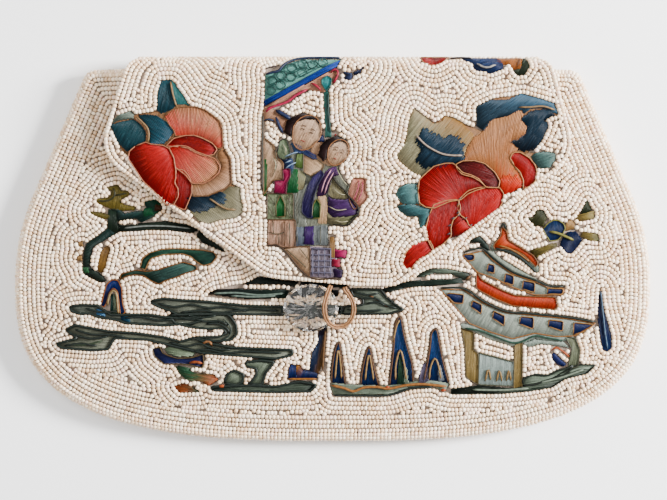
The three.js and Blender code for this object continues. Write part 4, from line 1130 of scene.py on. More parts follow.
# Left lake: bands of still water with a gilt bridge and a moored boat, in sage silk. Its banks and ripples
# are dark cords, couched down.
bank = {"edge": ink_green, "edge_width": 1.1}
low_bank = {"edge": ink_green, "edge_width": 1.0}
left_lake = Motif("lake_left", on_front)
left_lake.satin(
    "-82.4,49.2 -81.5,53 -80.5,56.5 -78.5,58.2 -76.3,58 -75,55 -74.8,50 -73.8,46.5 -75.5,45.5 -76,50 "
    "-76.5,54 -78,55.4 -79.5,53.5 -80.5,50 -81.5,48.2", "#1c3a78 #1a2048 #223c7c", lay=80, edge="#a8703c")
left_lake.couch("-80.2,49 -79.4,52.6 -78,54.4 -76.9,53.2 -76.5,49.6 -76.2,46", "#b09a74", 0.8)
left_lake.satin("-79.6,47 -79.2,52.4 -78.2,53.4 -78,46", "#22403a #2c5048", lay=86)
left_lake.satin("-78,46 -78.2,53.2 -77.2,52.6 -76.9,46", "#86937c #939e88", lay=86)
left_lake.satin(
    "-93.9,48.6 -90,49.2 -84,49 -79,45.7 -65,45.8 -60,45 -56.5,44.7 -46,44 -50,42.7 -60,42 -74,42.8 "
    "-76,43.8 -84,45 -86,46.1 -90,46 -93.2,47", "#767c72 #82867a #6c7066", lay=6, **bank)
left_lake.satin("-84.4,45.6 -84.2,47.9 -80.8,47.4 -81,45.2", "#6f9cc0 #7fa8c8", lay=10, pile=1)
left_lake.satin("-75.6,43.4 -75.4,45.4 -71.8,45.3 -72,43", "#1c3850 #2a5060", lay=10, pile=1)
left_lake.satin(
    "-64.6,50.7 -60,51.6 -55,51.1 -45,50.5 -30,49 -17.7,48.8 -17.7,45.8 -36.5,46.1 -55,45.8 -57.5,47.2 "
    "-61,48.4 -64.2,49.9", "#7c8074 #868a7c #72766a", lay=-2, **bank)
left_lake.couch(
    "-62,49.8 -56,48.6 -50,49.4 -44,48.2 -38,48.6 -30,47.2; -54,46.6 -46,47.4 -40,46.6 -28,47.9 -19,47.3; "
    "-88,48 -82,46.6 -76,47.2; -74,44.6 -68,45 -62,43.8 -56,44.2", ink_green, 0.8, block=False)
left_lake.satin(
    "-58,45.6 -50,46.2 -38,46.2 -36.4,45.4 -34.2,42.4 -33.9,39 -36,36.9 -41,36.4 -46,36.9 -49,37.8 -40,38 "
    "-37.6,39.4 -39,41 -44,40.8 -50,41.4 -56,42.8", "#7a7c6e #888c7e #6e7264", lay=4, **low_bank)
left_lake.couch(
    "-57,44.4 -50,44.8 -45,43.4 -40,43.6 -37,42; -52,46 -47,44.8 -41,45.6; -45,42.4 -41,42.8 -37.4,41 "
    "-36.6,39", ink_green, 0.8, block=False)
left_lake.couch("-40,36.2 -36.5,38.6 -36.2,41.6 -38.6,44.2", "#33403a", 0.5)
left_lake.satin(
    "-95.4,40.3 -92,42 -88,41.3 -80,39.8 -70,39.2 -60,37.8 -54,36.2 -49.5,37.6 -44,35.6 -40,35 -36,34.2 "
    "-14.2,33.3 -14.3,31.5 -20,30.2 -33,31.3 -46,32.2 -66,36.9 -77.8,37.4 -80,33.4 -86,33 -97,33.8 "
    "-98.8,35.3 -94,36.6 -91,37.2", "#7a7c6e #868a7a #6e7264 #888c7e", lay=-4, **bank)
left_lake.couch(
    "-92,40.4 -86,38.8 -80,38.6 -74,37.8; -94,39 -90,38 -86,37.2 -80,37.9; -58,36 -52,34.6 -47,35.6 "
    "-43,33.8; -50,33 -44,33.4 -38,32.2 -30,32.8 -18,32.2; -96,34.6 -90,35.4 -84,34.6; -46,35 -41,33.6 "
    "-36,33.4", ink_green, 0.8, block=False)
left_lake.couch("-46.5,35.4 -44,36.4 -42.5,34.6", "#a87c54", 1.0, block=False)
left_lake.couch("-95,35 -88,35 -82,36.4", "#46543e", 0.6)
left_lake.satin(
    "-64,33.5 -61.5,34.3 -60.5,32.2 -58.5,31.2 -55,30.2 -50,30.5 -46,31.8 -45.8,28.5 -46.5,26.8 -51,28 "
    "-55,28.3 -60,28.2 -63.5,31", "#20244c #282e5c #1c1f40", lay=-14, edge="#6a5838")
left_lake.couch("-51,28.6 -48.6,29 -46.2,28.4", "#b0683c", 1.0)
left_lake.satin("-60,33.6 -57.4,34.6 -52,34 -48,32.8 -50,31 -55,30.9 -58.6,31.8", "#87947c #939f88", lay=-8)
left_lake.sew()

# Lake top: two dark far banks in flat silk, with a row of white beads between them, running in under the
# flap's tip.
top_lake = Motif("lake_top", on_front)
top_lake.satin(
    "-37.2,55.9 -31,56.8 -26,59.4 -19,58.2 -12,57.6 -13.5,55.8 -17,56.6 -28,56.8",
    "#161d18 #222c26 #1a221c", lay=8)
top_lake.satin(
    "-44.2,53.2 -41.5,54.6 -38,55.3 -28,54.7 -15.5,54.6 -16.5,51.9 -30,51.4 -38,52.4", "#161d18 #20302a",
    lay=2)
top_lake.couch(
    "-42,53.4 -34,53.6 -26,52.8 -17,53.4; -36,52.6 -28,52.2 -20,52.6", "#7b8a80", 0.8, block=False)
top_lake.sew()

# Lake middle: the lake's bands run on in silk under the glass button, which bends them into dark streaks.
# The near bank is dyed far darker here than on either side of the button. That is painted shade, for the
# glass to bend into its dark streaks. The bands are sewn to the front before the button is.
mid_lake = Motif("lake_middle", on_front)
# Painted shade: this bank is much darker than the same bank either side of the button, to darken the glass
# above it.
mid_lake.satin(
    "-17.4,45.9 -17.4,48.8 -8,49.2 3.2,48.8 3.2,46.2 -8,45.6", "#4c564e #2c362e", lay=4, **low_bank)
mid_lake.satin("-15.2,51.9 -15.2,54.6 -8,55.2 2,54.6 2,52.6 -8,52.2", "#20302a #161d18", lay=2)
mid_lake.satin("-11.6,55.9 -11,57.4 -2,57.6 5,56.6 5,55.4 -4,55.8", "#161d18 #20302a", lay=2)
mid_lake.sew()

# Boat leaves: green and rust leaves in flat silk, sewn to the front below the boat. They have no outline
# cord.
leaves = Motif("boat_leaves", on_front)
leaves.satin(
    "-56,27.5 -51,26.8 -50,25 -42,24.3 -40.8,22.5 -44,20.5 -47,22 -52,22.5 -54.4,24.6",
    "#2a4f38 #3c6448 #b0683c", lay=-12, shade="-56,26 -41,22")
leaves.satin("-56.5,20.2 -52.6,21.2 -50,20 -47.5,18.3 -54.5,18", "#b0683c #8c5430 #2a4f38", lay=-10)
leaves.sew()

# Shore and curved leaf: a sage bank edged with dark cord, and a navy leaf with a gilt spine, sewn on below
# the lake.
shore = Motif("shore", on_front)
shore.satin("-38.6,21.4 -37.6,24.6 -35,26.1 -31.5,24.5 -32,22 -34,20.6", "#86907e #929c8a", lay=30, **bank)
shore.satin(
    "-31,27.5 -30.8,29 -25,29.6 -20.6,29 -23.8,25.1 -25.2,20.8 -29.6,21 -27,24.6 -27,26.6",
    "#86907e #7a8474", lay=60, **bank)
shore.satin(
    "-43,18.8 -43,20 -30,20.7 -20,20.2 -12,22 -6,21 -6,20.3 -8,18.4 -22,18.2", "#39443a #6c7668 #2c362e",
    lay=4, **bank)
shore.couch("-41,20.2 -38,20.4", "#c07040", 1.1)
shore.sew()
leaf = Motif("curved_leaf", on_front)
leaf.satin("-15.9,23 -15.8,26.6 -14.6,28 -13,27.6 -12.8,23", "#1c2a54 #243468", lay=84)
leaf.satin(
    "-13,25.8 -13,27.8 -11.6,28 -10.6,26 -8,25.8 -5.5,25.4 -5.5,23 -12.8,23", "#a8783c #24305c #202a54",
    lay=70, shade="-12,27 -9,24")
leaf.couch("-15.8,22.9 -10,22.9 -5.6,22.9", "#a8783c", 0.8)
leaf.satin(
    "-8,25.6 -7.6,31.8 -5,36 -4.4,41.2 -2.2,41.2 -3,34 -3.6,28 -5.2,24.6", "#202a44 #26344f #7a5a38",
    lay=80, shade="-7.5,33 -3.4,32")
leaf.satin("-5.2,38.4 -4.6,41.6 -2.2,41.6 -2.4,38.6", "#2c2436 #241c2e", lay=80, pile=1)
leaf.couch("-3.5,26 -3.1,33 -2.4,40.6", "#7a5a38", 0.8)
leaf.sew()

# Peaks: four crags in shaded blue silk, each with doubled gilt outlines, on a sage shore with a gilt edge.
# They are one strip, applied along the bottom of the front.
peaks = Motif("peaks", on_front)
peaks.satin(
    "-0.6,19.6 0.3,17.2 20,17.3 28,19.9 36,20.2 40,18.2 41.6,21.2 36,22.4 28,22 20,20.4 10,20.6 4,21 "
    "-0.4,21.4", "#8c9686 #7f8a7a #949e8e", lay=4)
for crag in ("-0.3,21.6 -0.3,25 0.3,30 1,33.5 2.2,36 3.2,30 4,24.5 4.4,21.2",
             "10.2,20.8 10.3,24 11,28 11.8,31.5 13,34.4 14.2,29 15.2,25 16.4,20.6",
             "20.4,20.6 20.6,24 21.2,29 21.8,35 22.3,42.5 24,45 25.2,39 26.8,33 28.2,28 28.6,21.8",
             "32.6,22.2 33,25 34,30 34.8,36 35.2,39.5 36.8,40.6 38,35 39.4,28.4 41.2,21.6"):
    peaks.satin(crag, "#182c50 #1f4270 #24487a #2f5a8c", lay=84)
    peaks.couch(crag, "#6a4a30", 0.6)
peaks.satin("31,20.6 30.6,23 32.4,28.4 34,28 34.2,22.2", "#6c6478 #7c748a", lay=80, pile=1)
peaks.couch(
    "0.9,23 1.4,29 2.1,33.6 2.9,28 3.2,23; 11.6,22.4 12.2,28 13,31.8 13.9,27.4 14.6,22.4; 22.4,22.6 "
    "22.5,28 24,33.3 25.5,28 26.2,22.6; 34.4,22.6 34.8,27 36.4,30.4 37.8,27 38.6,22.8; 21.5,36 22.6,41.6 "
    "24,44.4", "#b09468", 0.7)
peaks.satin("23.1,21 23.2,29 24,31.4 24.9,29 25.5,21", "#243c30 #34523c", lay=86, pile=1)
peaks.satin("25.6,21 25.2,28 26.4,27 27,21.4", "#8a9684 #9aa492", lay=84, pile=1)
peaks.satin("37.8,22 37.4,27.4 38.6,28 39.8,22.4", "#8c929a #9ca2aa", lay=84, pile=1)
peaks.couch("-0.4,20.6 4,19.6 7.5,18.4 11,19.8 16,20 20,19.4 26,20.6 32,21 40.6,20.2", "#b0804c", 1.0)
peaks.couch("0.2,17 10,16.9 20,17.1 28,19.6 36,20.1", "#232c26", 0.8)
peaks.couch("18.6,19.8 20.4,19.9", "#c8703c", 1.3)
peaks.couch("38.6,18.8 40.4,18.9", "#c8703c", 1.3)
peaks.sew()

# Lake right: the far water between the peaks and the pagoda, in the same sage silk and dark cord as the
# left lake.
right_lake = Motif("lake_right", on_front)
right_lake.satin(
    "3.4,46.1 4,48.8 11,49.4 10.6,51.8 7.2,52.6 6.3,55 17,54.8 19,52.4 22,49.6 25.2,47.7 20,46.2",
    "#868c7e #7a8276 #8c9282", lay=4, edge="#1c2620", edge_width=1.0)
right_lake.couch(
    "7,54.2 12,53 16.4,53.4; 10,51.6 15,51.8 18.4,49.6 23,48; 5,47.8 12,47.2 18,47.6; 12,49.6 16,50.4 "
    "19,48.8", ink_green, 0.8, block=False)
right_lake.couch("13,52.6 16,51.2 19.6,48.6", "#a87c54", 0.6, block=False)
right_lake.satin(
    "16.5,54.4 22,56.4 28,57.8 33,58 46,58.7 46.4,57 38,56.2 28,55.8 20,54", "#1c2620 #26342c", lay=6)
right_lake.satin(
    "29.6,59.2 31,60.4 35,62.2 41,62 48.5,60.5 49.2,58.6 47,58.2 42,60.4 36,60.6 32.4,59.4",
    "#26342c #6f7a6c #1c2620", lay=2)
right_lake.couch("47.3,58.2 49,59.6", "#7a5a3c", 1.2)
right_lake.sew()

# Pagoda: a two-roofed pavilion in sage and orange silk with navy tiles, on a dark rock. The roofs and posts
# are edged with fine gilt thread.
navy = "#20305c #18264c"
roof = Motif("pagoda_roof", on_front)
roof.satin(
    "53.5,68.5 57,65 64,60.2 72,57.5 77,55.2 82.5,55.2 82,52.8 72,52.8 64,55.6 57,59 51.5,60.8 46.2,66.6 "
    "47,67.4 49.6,67.6", "#a9b0a6 #b6bcb0 #9aa298", lay=62, edge="#b0804c")
for tile in ("46.4,66.5 47.2,67.3 50.4,67.2 50.2,65.2 48,64.8", "54.8,61.2 55.2,64 57.6,63.4 57.4,60.4",
             "61,57.4 61.4,60.6 64.4,59.6 64.2,56.2", "67.4,55 67.8,58 72,57.2 71.8,53.6",
             "76.4,53.2 76.6,55.2 82.3,55 81.9,53"):
    roof.satin(tile, navy, lay=62, pile=1, edge="#b08a58")
roof.couch("46.4,67.8 50,69 53.5,69.2 57.4,65.8 64.2,61 72,58.2 77,56 82.6,55.8", "#232c26", 0.8)
roof.satin(
    "51,61 53,58.2 60,54.6 65,52.6 72,52.2 79.4,52 80.2,48.5 79,47.6 64,49 58,51.4 53,54 51,55.2",
    "#c2552f #cc6a40 #b04a2c", lay=70, shade="60,54 60,49", edge="#8a6038")
roof.satin(
    "56,70.2 57.4,71.2 59.4,73.6 61.4,75.4 62.4,72.4 65,70.6 71.5,66.7 73,64.2 73.6,61.4 72.6,60.8 "
    "68,64.8 63,67.6 59.2,68.8 57,68.4", "#98a294 #a9b0a4 #8c978a", lay=64)
roof.satin(
    "53.4,68.8 57,68.4 59,66.4 64,63.2 70,59.8 73,58.2 72.2,57.6 64,60.4 57.6,65", "#98a294 #a9b0a4",
    lay=64)
roof.satin(
    "60.2,77 59.6,73.6 57,70.4 57.6,69 61,69.4 65,68.6 68,67 72.2,62.8 73.2,64 71.5,66.8 65,70.8 "
    "62.5,72.2 61.9,75.4", "#c8603c #d07448 #b85434", lay=40, pile=1, edge="#8a6038")
roof.couch("57.4,69.4 62,68.4 67,65.8 72.8,60.6", ink_green, 0.9, block=False)
roof.couch("58.6,70.4 62,69.6 66,67.6 70.4,64.4", "#b0804c", 0.6, block=False)
roof.couch("59.6,76.4 60.8,78.3 61.6,76", "#232c26", 0.9)
roof.satin("48.4,71.2 50,73 52.5,73.7 55.4,70.4 55.6,68.9 53.4,69.6 51.4,71.8", "#232c26 #34403a", lay=20)
roof.sew()
hall = Motif("pagoda_hall", on_front)
hall.satin(
    "38.2,54.9 46.5,54.6 54,49.7 62,46.4 70,45.7 84.5,44.2 94,42.6 86.6,38.2 80,37.9 72,39.2 64,37.2 "
    "56,39.7 48.5,42.8 43.5,48.6", "#a9b0a6 #b6bcb0 #9aa298", lay=62, edge="#b0804c")
for tile in ("40.6,52.6 41,53.6 46.6,53 46.2,49.8 43,50", "49.2,48.6 49.6,51 53,49.4 52.8,46",
             "56.8,44.6 57.2,47.2 61.2,45.4 61,41.8", "66.4,42.6 66.8,45.2 71.6,44.8 71.4,40.6",
             "76.8,41.6 77,44 82.2,43.4 82,39.8", "85.8,38.6 86,43 93.4,42.2 89.6,39.6"):
    hall.satin(tile, navy, lay=62, pile=1, edge="#b08a58")
hall.couch("38.2,55.4 46.6,55 54.2,50.2 62,46.9 70,46.2 84.6,44.7 94,43", "#232c26", 0.8)
hall.satin(
    "45.2,42.6 48.4,42.6 56,39.6 64,37 72,39 80,37.8 86.4,38 83,36.2 76,36.4 72,37.4 68,35.6 64,34.6 "
    "56,37 50.4,39.8 46.4,40.4", "#b4bcb2 #a4aea4", lay=70)
hall.couch("47,41 52,40.2 58,38 64,35.8 68,36.4 72,38.2 77,37.4 82,36.6", "#2c5040", 0.7)
hall.satin(
    "45.6,41 50.2,39.8 50.2,33.2 51.8,32 52,24.6 51.8,20.8 47.4,23.4 47,34", "#9a8658 #a8946a #8a784c",
    lay=88, edge="#5a4c30")
hall.satin("64.6,35 67.6,36.2 67.6,19 64.6,19.2", "#9a8658 #a8946a", lay=89, edge="#5a4c30")
hall.satin("83,37.8 86.6,37.4 88.3,33 87.6,27 84,26.5 85.4,33.4", "#7c826c #8c9078", lay=84, edge="#4a4a38")
hall.satin(
    "52,32.2 57,31 63.4,29.2 64.6,29 64.6,20.2 52,20.8 52,24", "#b3beb8 #a8b4ae #bcc6c0", lay=88,
    edge="#5c5a44")
hall.couch(
    "54.4,22 55.4,26.4 56.4,22.4; 58.4,21.8 59.4,26 60.4,22; 62,22 62.8,26 63.6,22.2", "#a3875a", 0.7)
hall.satin(
    "67.8,35.4 72,37 76,36.4 82.4,36 84.6,33.8 82,34.4 78,35 74,35.4 70,34.2", "#a3aea4 #b2bcb2", lay=70)
hall.satin("78.2,31.4 79.4,32 81.2,30.2 83.4,28.2 82.4,27.2 80,28.2 78.6,29.8", "#1c2650 #243064", lay=50)
hall.couch("78,33 79.6,34 81.6,33 84.6,30.6", "#c0703c", 0.8)
hall.satin(
    "67.8,20.4 68,23 72,24.4 77,24 80,25.8 84,26.6 86,27.8 84,24.6 78.5,22.8 72,20.8", "#8f9a8a #7c887a",
    lay=10, edge="#20281f", edge_width=0.9)
hall.satin(
    "42.2,17.5 42.4,19.1 52,20.5 64.6,19.2 70,20.4 78.5,22.8 83,25.6 87.6,27.8 93.9,27.6 91,24.7 83,22.8 "
    "78.5,19.8 70,18.4 60,17.6", "#2c362c #8f9a8a #20281f", lay=8, shade="68,18 67,21", edge="#20281f")
hall.couch(
    "50,19 60,18.8 70,19.4; 74,21.4 82,23.4 90,26.2; 84,25 88,26.4 92,26.6", "#8f9a8a", 0.8, block=False)
hall.sew()

# Blossom sprig and feather: two navy flowers with buds, and a single long blue plume, in silk, applied at
# the right edge.
sprig = Motif("blossom_sprig", on_front)
sprig.satin(
    "69.5,80.2 71.8,80.4 72.6,82.9 75,82.9 76.4,80.4 75,77.2 72,77.6", "#3a3c26 #4c4a2c #2e3222", lay=50)
sprig.satin(
    "75,76.3 76.5,78.2 78.5,79.4 80.5,79.4 82.5,78.1 83,76.5 82,74.4 80.5,72.4 77.5,71.9 76,74",
    "#1e3356 #1a2a48 #263c60", fan="79,65", edge="#8f8a4a")
sprig.couch("77.2,75.4 80.6,74.6 86,72.3", "#8f8a4a", 1.0)
sprig.satin(
    "84,75.3 87,75.3 89,72.5 87.5,70.2 85.3,67.7 83.3,67.9 81.2,71 82.4,73.4", "#162440 #1c2c4c",
    fan="89,64")
sprig.satin("82.8,75.6 83,78 84.6,79.6 86.4,79 86.2,76.4", "#a8885c #b89a70", lay=60)
sprig.satin("70.3,68.6 74,69.7 79.8,71.4 80.2,70.1 74.5,67.4 72.5,66.1", "#6f6234 #7f7040 #5c5430", lay=22)
sprig.satin("88.4,81.8 91,86.6 92.4,83.4 90.8,81.6", "#2a3020 #3a402c", lay=70)
sprig.satin("86.9,79.8 88,81.8 93.6,82.6 93.6,80.2 89,79.2", "#a08c58 #8a7c4c", lay=14)
sprig.satin("88.8,73.6 89.4,75.3 94.6,74.4 95.4,72 92,72.2", "#a08c58 #5c5c38", lay=-8)
sprig.sew()
feather = Motif("feather", on_front)
feather.satin(
    "95.5,55.3 96.2,50 97.6,45 99.7,38 99.8,34 98.5,32.6 96.9,32.9 95.8,36 95.1,42 94.8,47",
    "#16325a #12284a #0e1828", lay=100, shade="98,33 95.6,54")
feather.couch("98.4,33.4 97.2,41 95.8,54", "#5f7890", 0.5)
feather.sew()

# Seed beads: some twenty thousand small cream glass beads, drawn and cut from fine cane and tumbled round.
# They are threaded and sewn down in rows that run round each motif and along each edge until the rows meet.
row_pitch = 1.64
bead_pitch = 1.36
bead_radius = 0.80
bead_half_length = 0.66
least_apart = 1.2
grid_pitch = 0.4
chart_reach = 26.0
motif_reach = 14.0
edge_reach = 30.0
feel = 0.3
row_scatter = 0.03
filler_turn = 0.25
thread_wander = 0.06
cane_tones = (0.90, 1.04)
beads = np.random.default_rng(1925)


class Field:
    """A flat chart of one side of the bag, with how far each place lies from the nearest edge or motif."""

    def __init__(self, low, high, edge, works):
        self.xs = np.arange(low[0], high[0], grid_pitch)
        self.ys = np.arange(low[1], high[1], grid_pitch)
        self.away = np.full((len(self.ys), len(self.xs)), chart_reach)
        for line, shut, half in works:
            self.near(line, shut, half, motif_reach)
        self.inside = self.within(edge)
        for line, shut, half in works:
            if shut:
                self.away[self.within(line)] = -1.0

    def near(self, line, shut, half, reach):
        ends = np.roll(line, -1, axis=0) if shut else line[1:]
        for a, b in zip(line, ends):
            x0, x1 = np.searchsorted(self.xs, (min(a[0], b[0]) - reach, max(a[0], b[0]) + reach))
            y0, y1 = np.searchsorted(self.ys, (min(a[1], b[1]) - reach, max(a[1], b[1]) + reach))
            if x0 == x1 or y0 == y1:
                continue
            px = self.xs[x0:x1][None] - a[0]
            py = self.ys[y0:y1][:, None] - a[1]
            dx, dy = b - a
            t = np.clip((px * dx + py * dy) / max(dx * dx + dy * dy, 1e-9), 0, 1)
            part = self.away[y0:y1, x0:x1]
            np.minimum(part, np.hypot(px - t * dx, py - t * dy) - half, out=part)

    def within(self, line):
        x, y = np.meshgrid(self.xs, self.ys)
        found = np.zeros(x.shape, bool)
        y0, y1 = np.searchsorted(self.ys, (line[:, 1].min(), line[:, 1].max()))
        x, y = x[y0:y1], y[y0:y1]
        part = found[y0:y1]
        for a, b in zip(line, np.roll(line, -1, axis=0)):
            if a[1] != b[1]:
                crossing = (a[1] > y) != (b[1] > y)
                part ^= crossing & (x < (b[0] - a[0]) * (y - a[1]) / (b[1] - a[1]) + a[0])
        return found

    def at(self, points):
        column = np.clip(np.rint((points[:, 0] - self.xs[0]) / grid_pitch).astype(int), 0, len(self.xs) - 1)
        row = np.clip(np.rint((points[:, 1] - self.ys[0]) / grid_pitch).astype(int), 0, len(self.ys) - 1)
        return row, column

    def rows(self, level):
        """Lines of equal distance, followed from square to square of the chart."""
        above = self.away > level
        high, wide = above.shape
        j, i = np.mgrid[0:high - 1, 0:wide - 1]
        flat, tall = j * wide + i, high * wide + j * wide + i
        sides = [(above[:-1, :-1] != above[:-1, 1:], flat), (above[:-1, 1:] != above[1:, 1:], tall + 1),
                 (above[1:, :-1] != above[1:, 1:], flat + wide), (above[:-1, :-1] != above[1:, :-1], tall)]
        crossed = sum(hit.astype(int) for hit, _ in sides)
        links = {}
        for p in range(4):
            for q in range(p + 1, 4):
                saddle = (crossed == 4) & ((p, q) in ((0, 3), (1, 2)))
                both = sides[p][0] & sides[q][0] & ((crossed == 2) | saddle)
                for one, other in zip(sides[p][1][both].tolist(), sides[q][1][both].tolist()):
                    links.setdefault(one, []).append(other)
                    links.setdefault(other, []).append(one)
        values = self.away.ravel()

        def place(key):
            upright = key >= high * wide
            a = key - high * wide if upright else key
            b = a + wide if upright else a + 1
            share = (level - values[a]) / (values[b] - values[a])
            y, x = divmod(a, wide)
            return (self.xs[0] + (x + (0 if upright else share)) * grid_pitch,
                    self.ys[0] + (y + (share if upright else 0)) * grid_pitch)

        lines = []
        for start in sorted(links, key=lambda key: len(links[key])):
            if start not in links:
                continue
            line = [start]
            while links.get(line[-1]):
                here = line[-1]
                there = links[here].pop()
                links[there].remove(here)
                if not links[here]:
                    del links[here]
                line.append(there)
            links.pop(line[-1], None)
            if len(line) > 3:
                lines.append(np.array([place(key) for key in line]))
        return lines


def lay_rows(field, first, allowed, border=None):
    """Seats for beads along a border and the rows, then in what gaps are left: places and row directions."""
    seats, ways, cells = [], [], {}

    def seat(point, way):
        x, y = point
        i, j = int(x // least_apart), int(y // least_apart)
        for near in ((i + a, j + b) for a in (-1, 0, 1) for b in (-1, 0, 1)):
            if any((x - u) ** 2 + (y - v) ** 2 < least_apart ** 2 for u, v in cells.get(near, ())):
                return
        cells.setdefault((i, j), []).append((x, y))
        seats.append(point)
        ways.append(way)

    if border is not None:
        border = resample(border, bead_pitch)
        for point, direction in zip(border, unit(np.gradient(border, axis=0))):
            seat(point, direction)
    open_ground = allowed & (field.away > 0.42 * row_pitch)
    level = first
    while level < field.away[allowed].max():
        for line in field.rows(level):
            for _ in range(4):
                line[1:-1] = (line[:-2] + 2 * line[1:-1] + line[2:]) / 4
            if np.linalg.norm(np.diff(line, axis=0), axis=1).sum() < bead_pitch:
                continue
            line = resample(line, bead_pitch)
            free = open_ground[field.at(line)]
            way = unit(np.gradient(line, axis=0))
            strayed = line[free] + beads.normal(0, row_scatter, (free.sum(), 2))
            for point, direction in zip(strayed, way[free]):
                seat(point, direction)
        level += row_pitch
    rows, columns = np.nonzero(open_ground)
    slope_y, slope_x = np.gradient(field.away)
    for k in beads.permutation(len(rows)):
        row, column = rows[k], columns[k]
        slope = np.array([-slope_y[row, column], slope_x[row, column]])
        way = slope / max(np.linalg.norm(slope), 1e-6) + beads.normal(0, filler_turn, 2)
        seat(np.array([field.xs[column], field.ys[row]]), way / np.linalg.norm(way))
    return np.array(seats), np.array(ways)


def seated(surface, seats, ways):
    """Middles, thread directions and outward directions of beads that lie on a surface."""
    x, y = seats.T
    middle = surface(x, y, bead_radius)
    ahead = surface(x + ways[:, 0] * feel, y + ways[:, 1] * feel, bead_radius)
    behind = surface(x - ways[:, 0] * feel, y - ways[:, 1] * feel, bead_radius)
    right = surface(x + feel, y, bead_radius) - surface(x - feel, y, bead_radius)
    upward = surface(x, y + feel, bead_radius) - surface(x, y - feel, bead_radius)
    return middle, ahead - behind, np.cross(right, upward)


bead_tones = np.array([linear(tone) for tone in (
    "#f3d9b9", "#efd5b4", "#f7e3ca", "#e6c8a4", "#ecd0b0",
    "#f5dfc2", "#dcbc98", "#ebcdb6", "#d8b690", "#eed8c0")])


def string_beads(name, node_name, parts, sides, profile):
    """One object of many glass beads, each turned from the profile."""
    middle, thread, out = (np.vstack(part) for part in zip(*parts))
    count = len(middle)
    wander = beads.normal(0, thread_wander, thread.shape)
    thread = unit(thread + wander * np.linalg.norm(thread, axis=1, keepdims=True))
    out = unit(out - thread * np.sum(out * thread, axis=1, keepdims=True))
    across = np.cross(thread, out)
    size = beads.normal(1.0, 0.045, count).clip(0.88, 1.1)
    long = beads.normal(1.0, 0.08, count).clip(0.8, 1.15)
    turns = turns_of(sides)
    rings = []
    cosines = np.cos(turns)[None, :, None]
    sines = np.sin(turns)[None, :, None]
    for along, reach in profile:
        ring = (out[:, None] * cosines + across[:, None] * sines) * reach
        ring = ring * (size * bead_radius)[:, None, None]
        shift = thread[:, None] * (along * bead_half_length * long)[:, None, None]
        rings.append(middle[:, None] + shift + ring)
    points = np.stack(rings, axis=1).reshape(-1, 3)
    levels = len(profile)
    k = np.arange(sides)
    nxt = (k + 1) % sides
    bands = np.vstack([np.column_stack([low + k, low + nxt, low + sides + nxt, low + sides + k])
                       for low in range(0, (levels - 1) * sides, sides)])
    caps = end_caps(0, (levels - 1) * sides, sides)
    start = np.arange(count)[:, None, None] * (levels * sides)
    quads = (start + bands[None]).reshape(-1, 4)[:, ::-1]
    caps = (start + np.array(caps)[None]).reshape(-1, 3)[:, ::-1]
    tone = bead_tones[beads.integers(0, len(bead_tones), count)] * beads.uniform(*cane_tones, (count, 1))
    made = mesh_object(name, points, quads, caps, np.repeat(tone, levels * sides, axis=0))
    made.data.materials.append(seed_glass)
    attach(made, "root")
    if node_name:
        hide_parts(node_name)


# Opal glass, fire-polished by tumbling: a soft milky body under a small bright gloss, cloudier in some canes.
# The clouds are about as long as a bead
seed_glass = new_material("tumbled_opal_glass")
clouds_per_mm = 0.7
glass_place = add_node(seed_glass, "ShaderNodeTexCoord")
glass_tone = add_node(seed_glass, "ShaderNodeAttribute", attribute_name="thread_tone")
cloud = add_node(seed_glass, "ShaderNodeTexNoise", {
    "Vector": glass_place.outputs["Object"], "Scale": clouds_per_mm / MM, "Detail": 2.0})
cloud_tone = add_node(seed_glass, "ShaderNodeMapRange", {
    "Value": cloud.outputs["Fac"], "From Min": 0.3, "From Max": 0.7, "To Min": 0.93, "To Max": 1.05})
glass_colour = add_node(seed_glass, "ShaderNodeVectorMath", {
    0: glass_tone.outputs["Color"], "Scale": cloud_tone.outputs["Result"]}, operation="SCALE")
glass_rough = add_node(seed_glass, "ShaderNodeMapRange", {
    "Value": cloud.outputs["Fac"], "To Min": 0.14, "To Max": 0.32})
add_node(seed_glass, "ShaderNodeBsdfPrincipled", {
    "Base Color": glass_colour.outputs["Vector"], "Roughness": glass_rough.outputs["Result"], "IOR": 1.51})

# Half of a bead's side: along its hole in half lengths, then out in radii
full_bead = ((-1.0, 0.5), (-0.62, 0.97), (0.62, 0.97), (1.0, 0.5))
plain_bead = ((-1.0, 0.62), (0.0, 1.04), (1.0, 0.62))


def rim_parts(rim, side_of_bag, first, keep=None):
    """Rows of beads round a rolled edge, and where in from the outline the next row would start."""
    parts = []
    arc = first
    while arc < rim * math.pi / 2 - 0.2 * row_pitch:
        turn = arc / rim
        edge = rolled_edge(rim, bead_radius, turn, side_of_bag)
        points = resample(np.column_stack([edge, outward(body_outline)]), bead_pitch, closed=True)
        thread = np.roll(points[:, :3], -1, axis=0) - np.roll(points[:, :3], 1, axis=0)
        normal = np.column_stack([points[:, 3:] * math.cos(turn),
                                  np.full(len(points), side_of_bag * math.sin(turn))])
        chosen = slice(None) if keep is None else keep(points)
        parts.append((points[chosen, :3], thread[chosen], normal[chosen]))
        arc += row_pitch
    return parts, arc - (rim * math.pi / 2 - rim)


def string_halves(name, node_name, parts, sides, profile):
    """The beads as a left and a right piece, so that neither has too many faces. The left one replaces."""
    middle, thread, out = (np.vstack(part) for part in zip(*parts))
    left = middle[:, 0] < 0
    for half, side_name, replaced in ((left, "_left", node_name), (~left, "_right", None)):
        string_beads(name + side_name, replaced, [(middle[half], thread[half], out[half])], sides, profile)


margin = 3.0
low = body_outline.min(axis=0) - margin
high = body_outline.max(axis=0) + margin
half_row = 0.5 * row_pitch
first_row = 0.55 * row_pitch

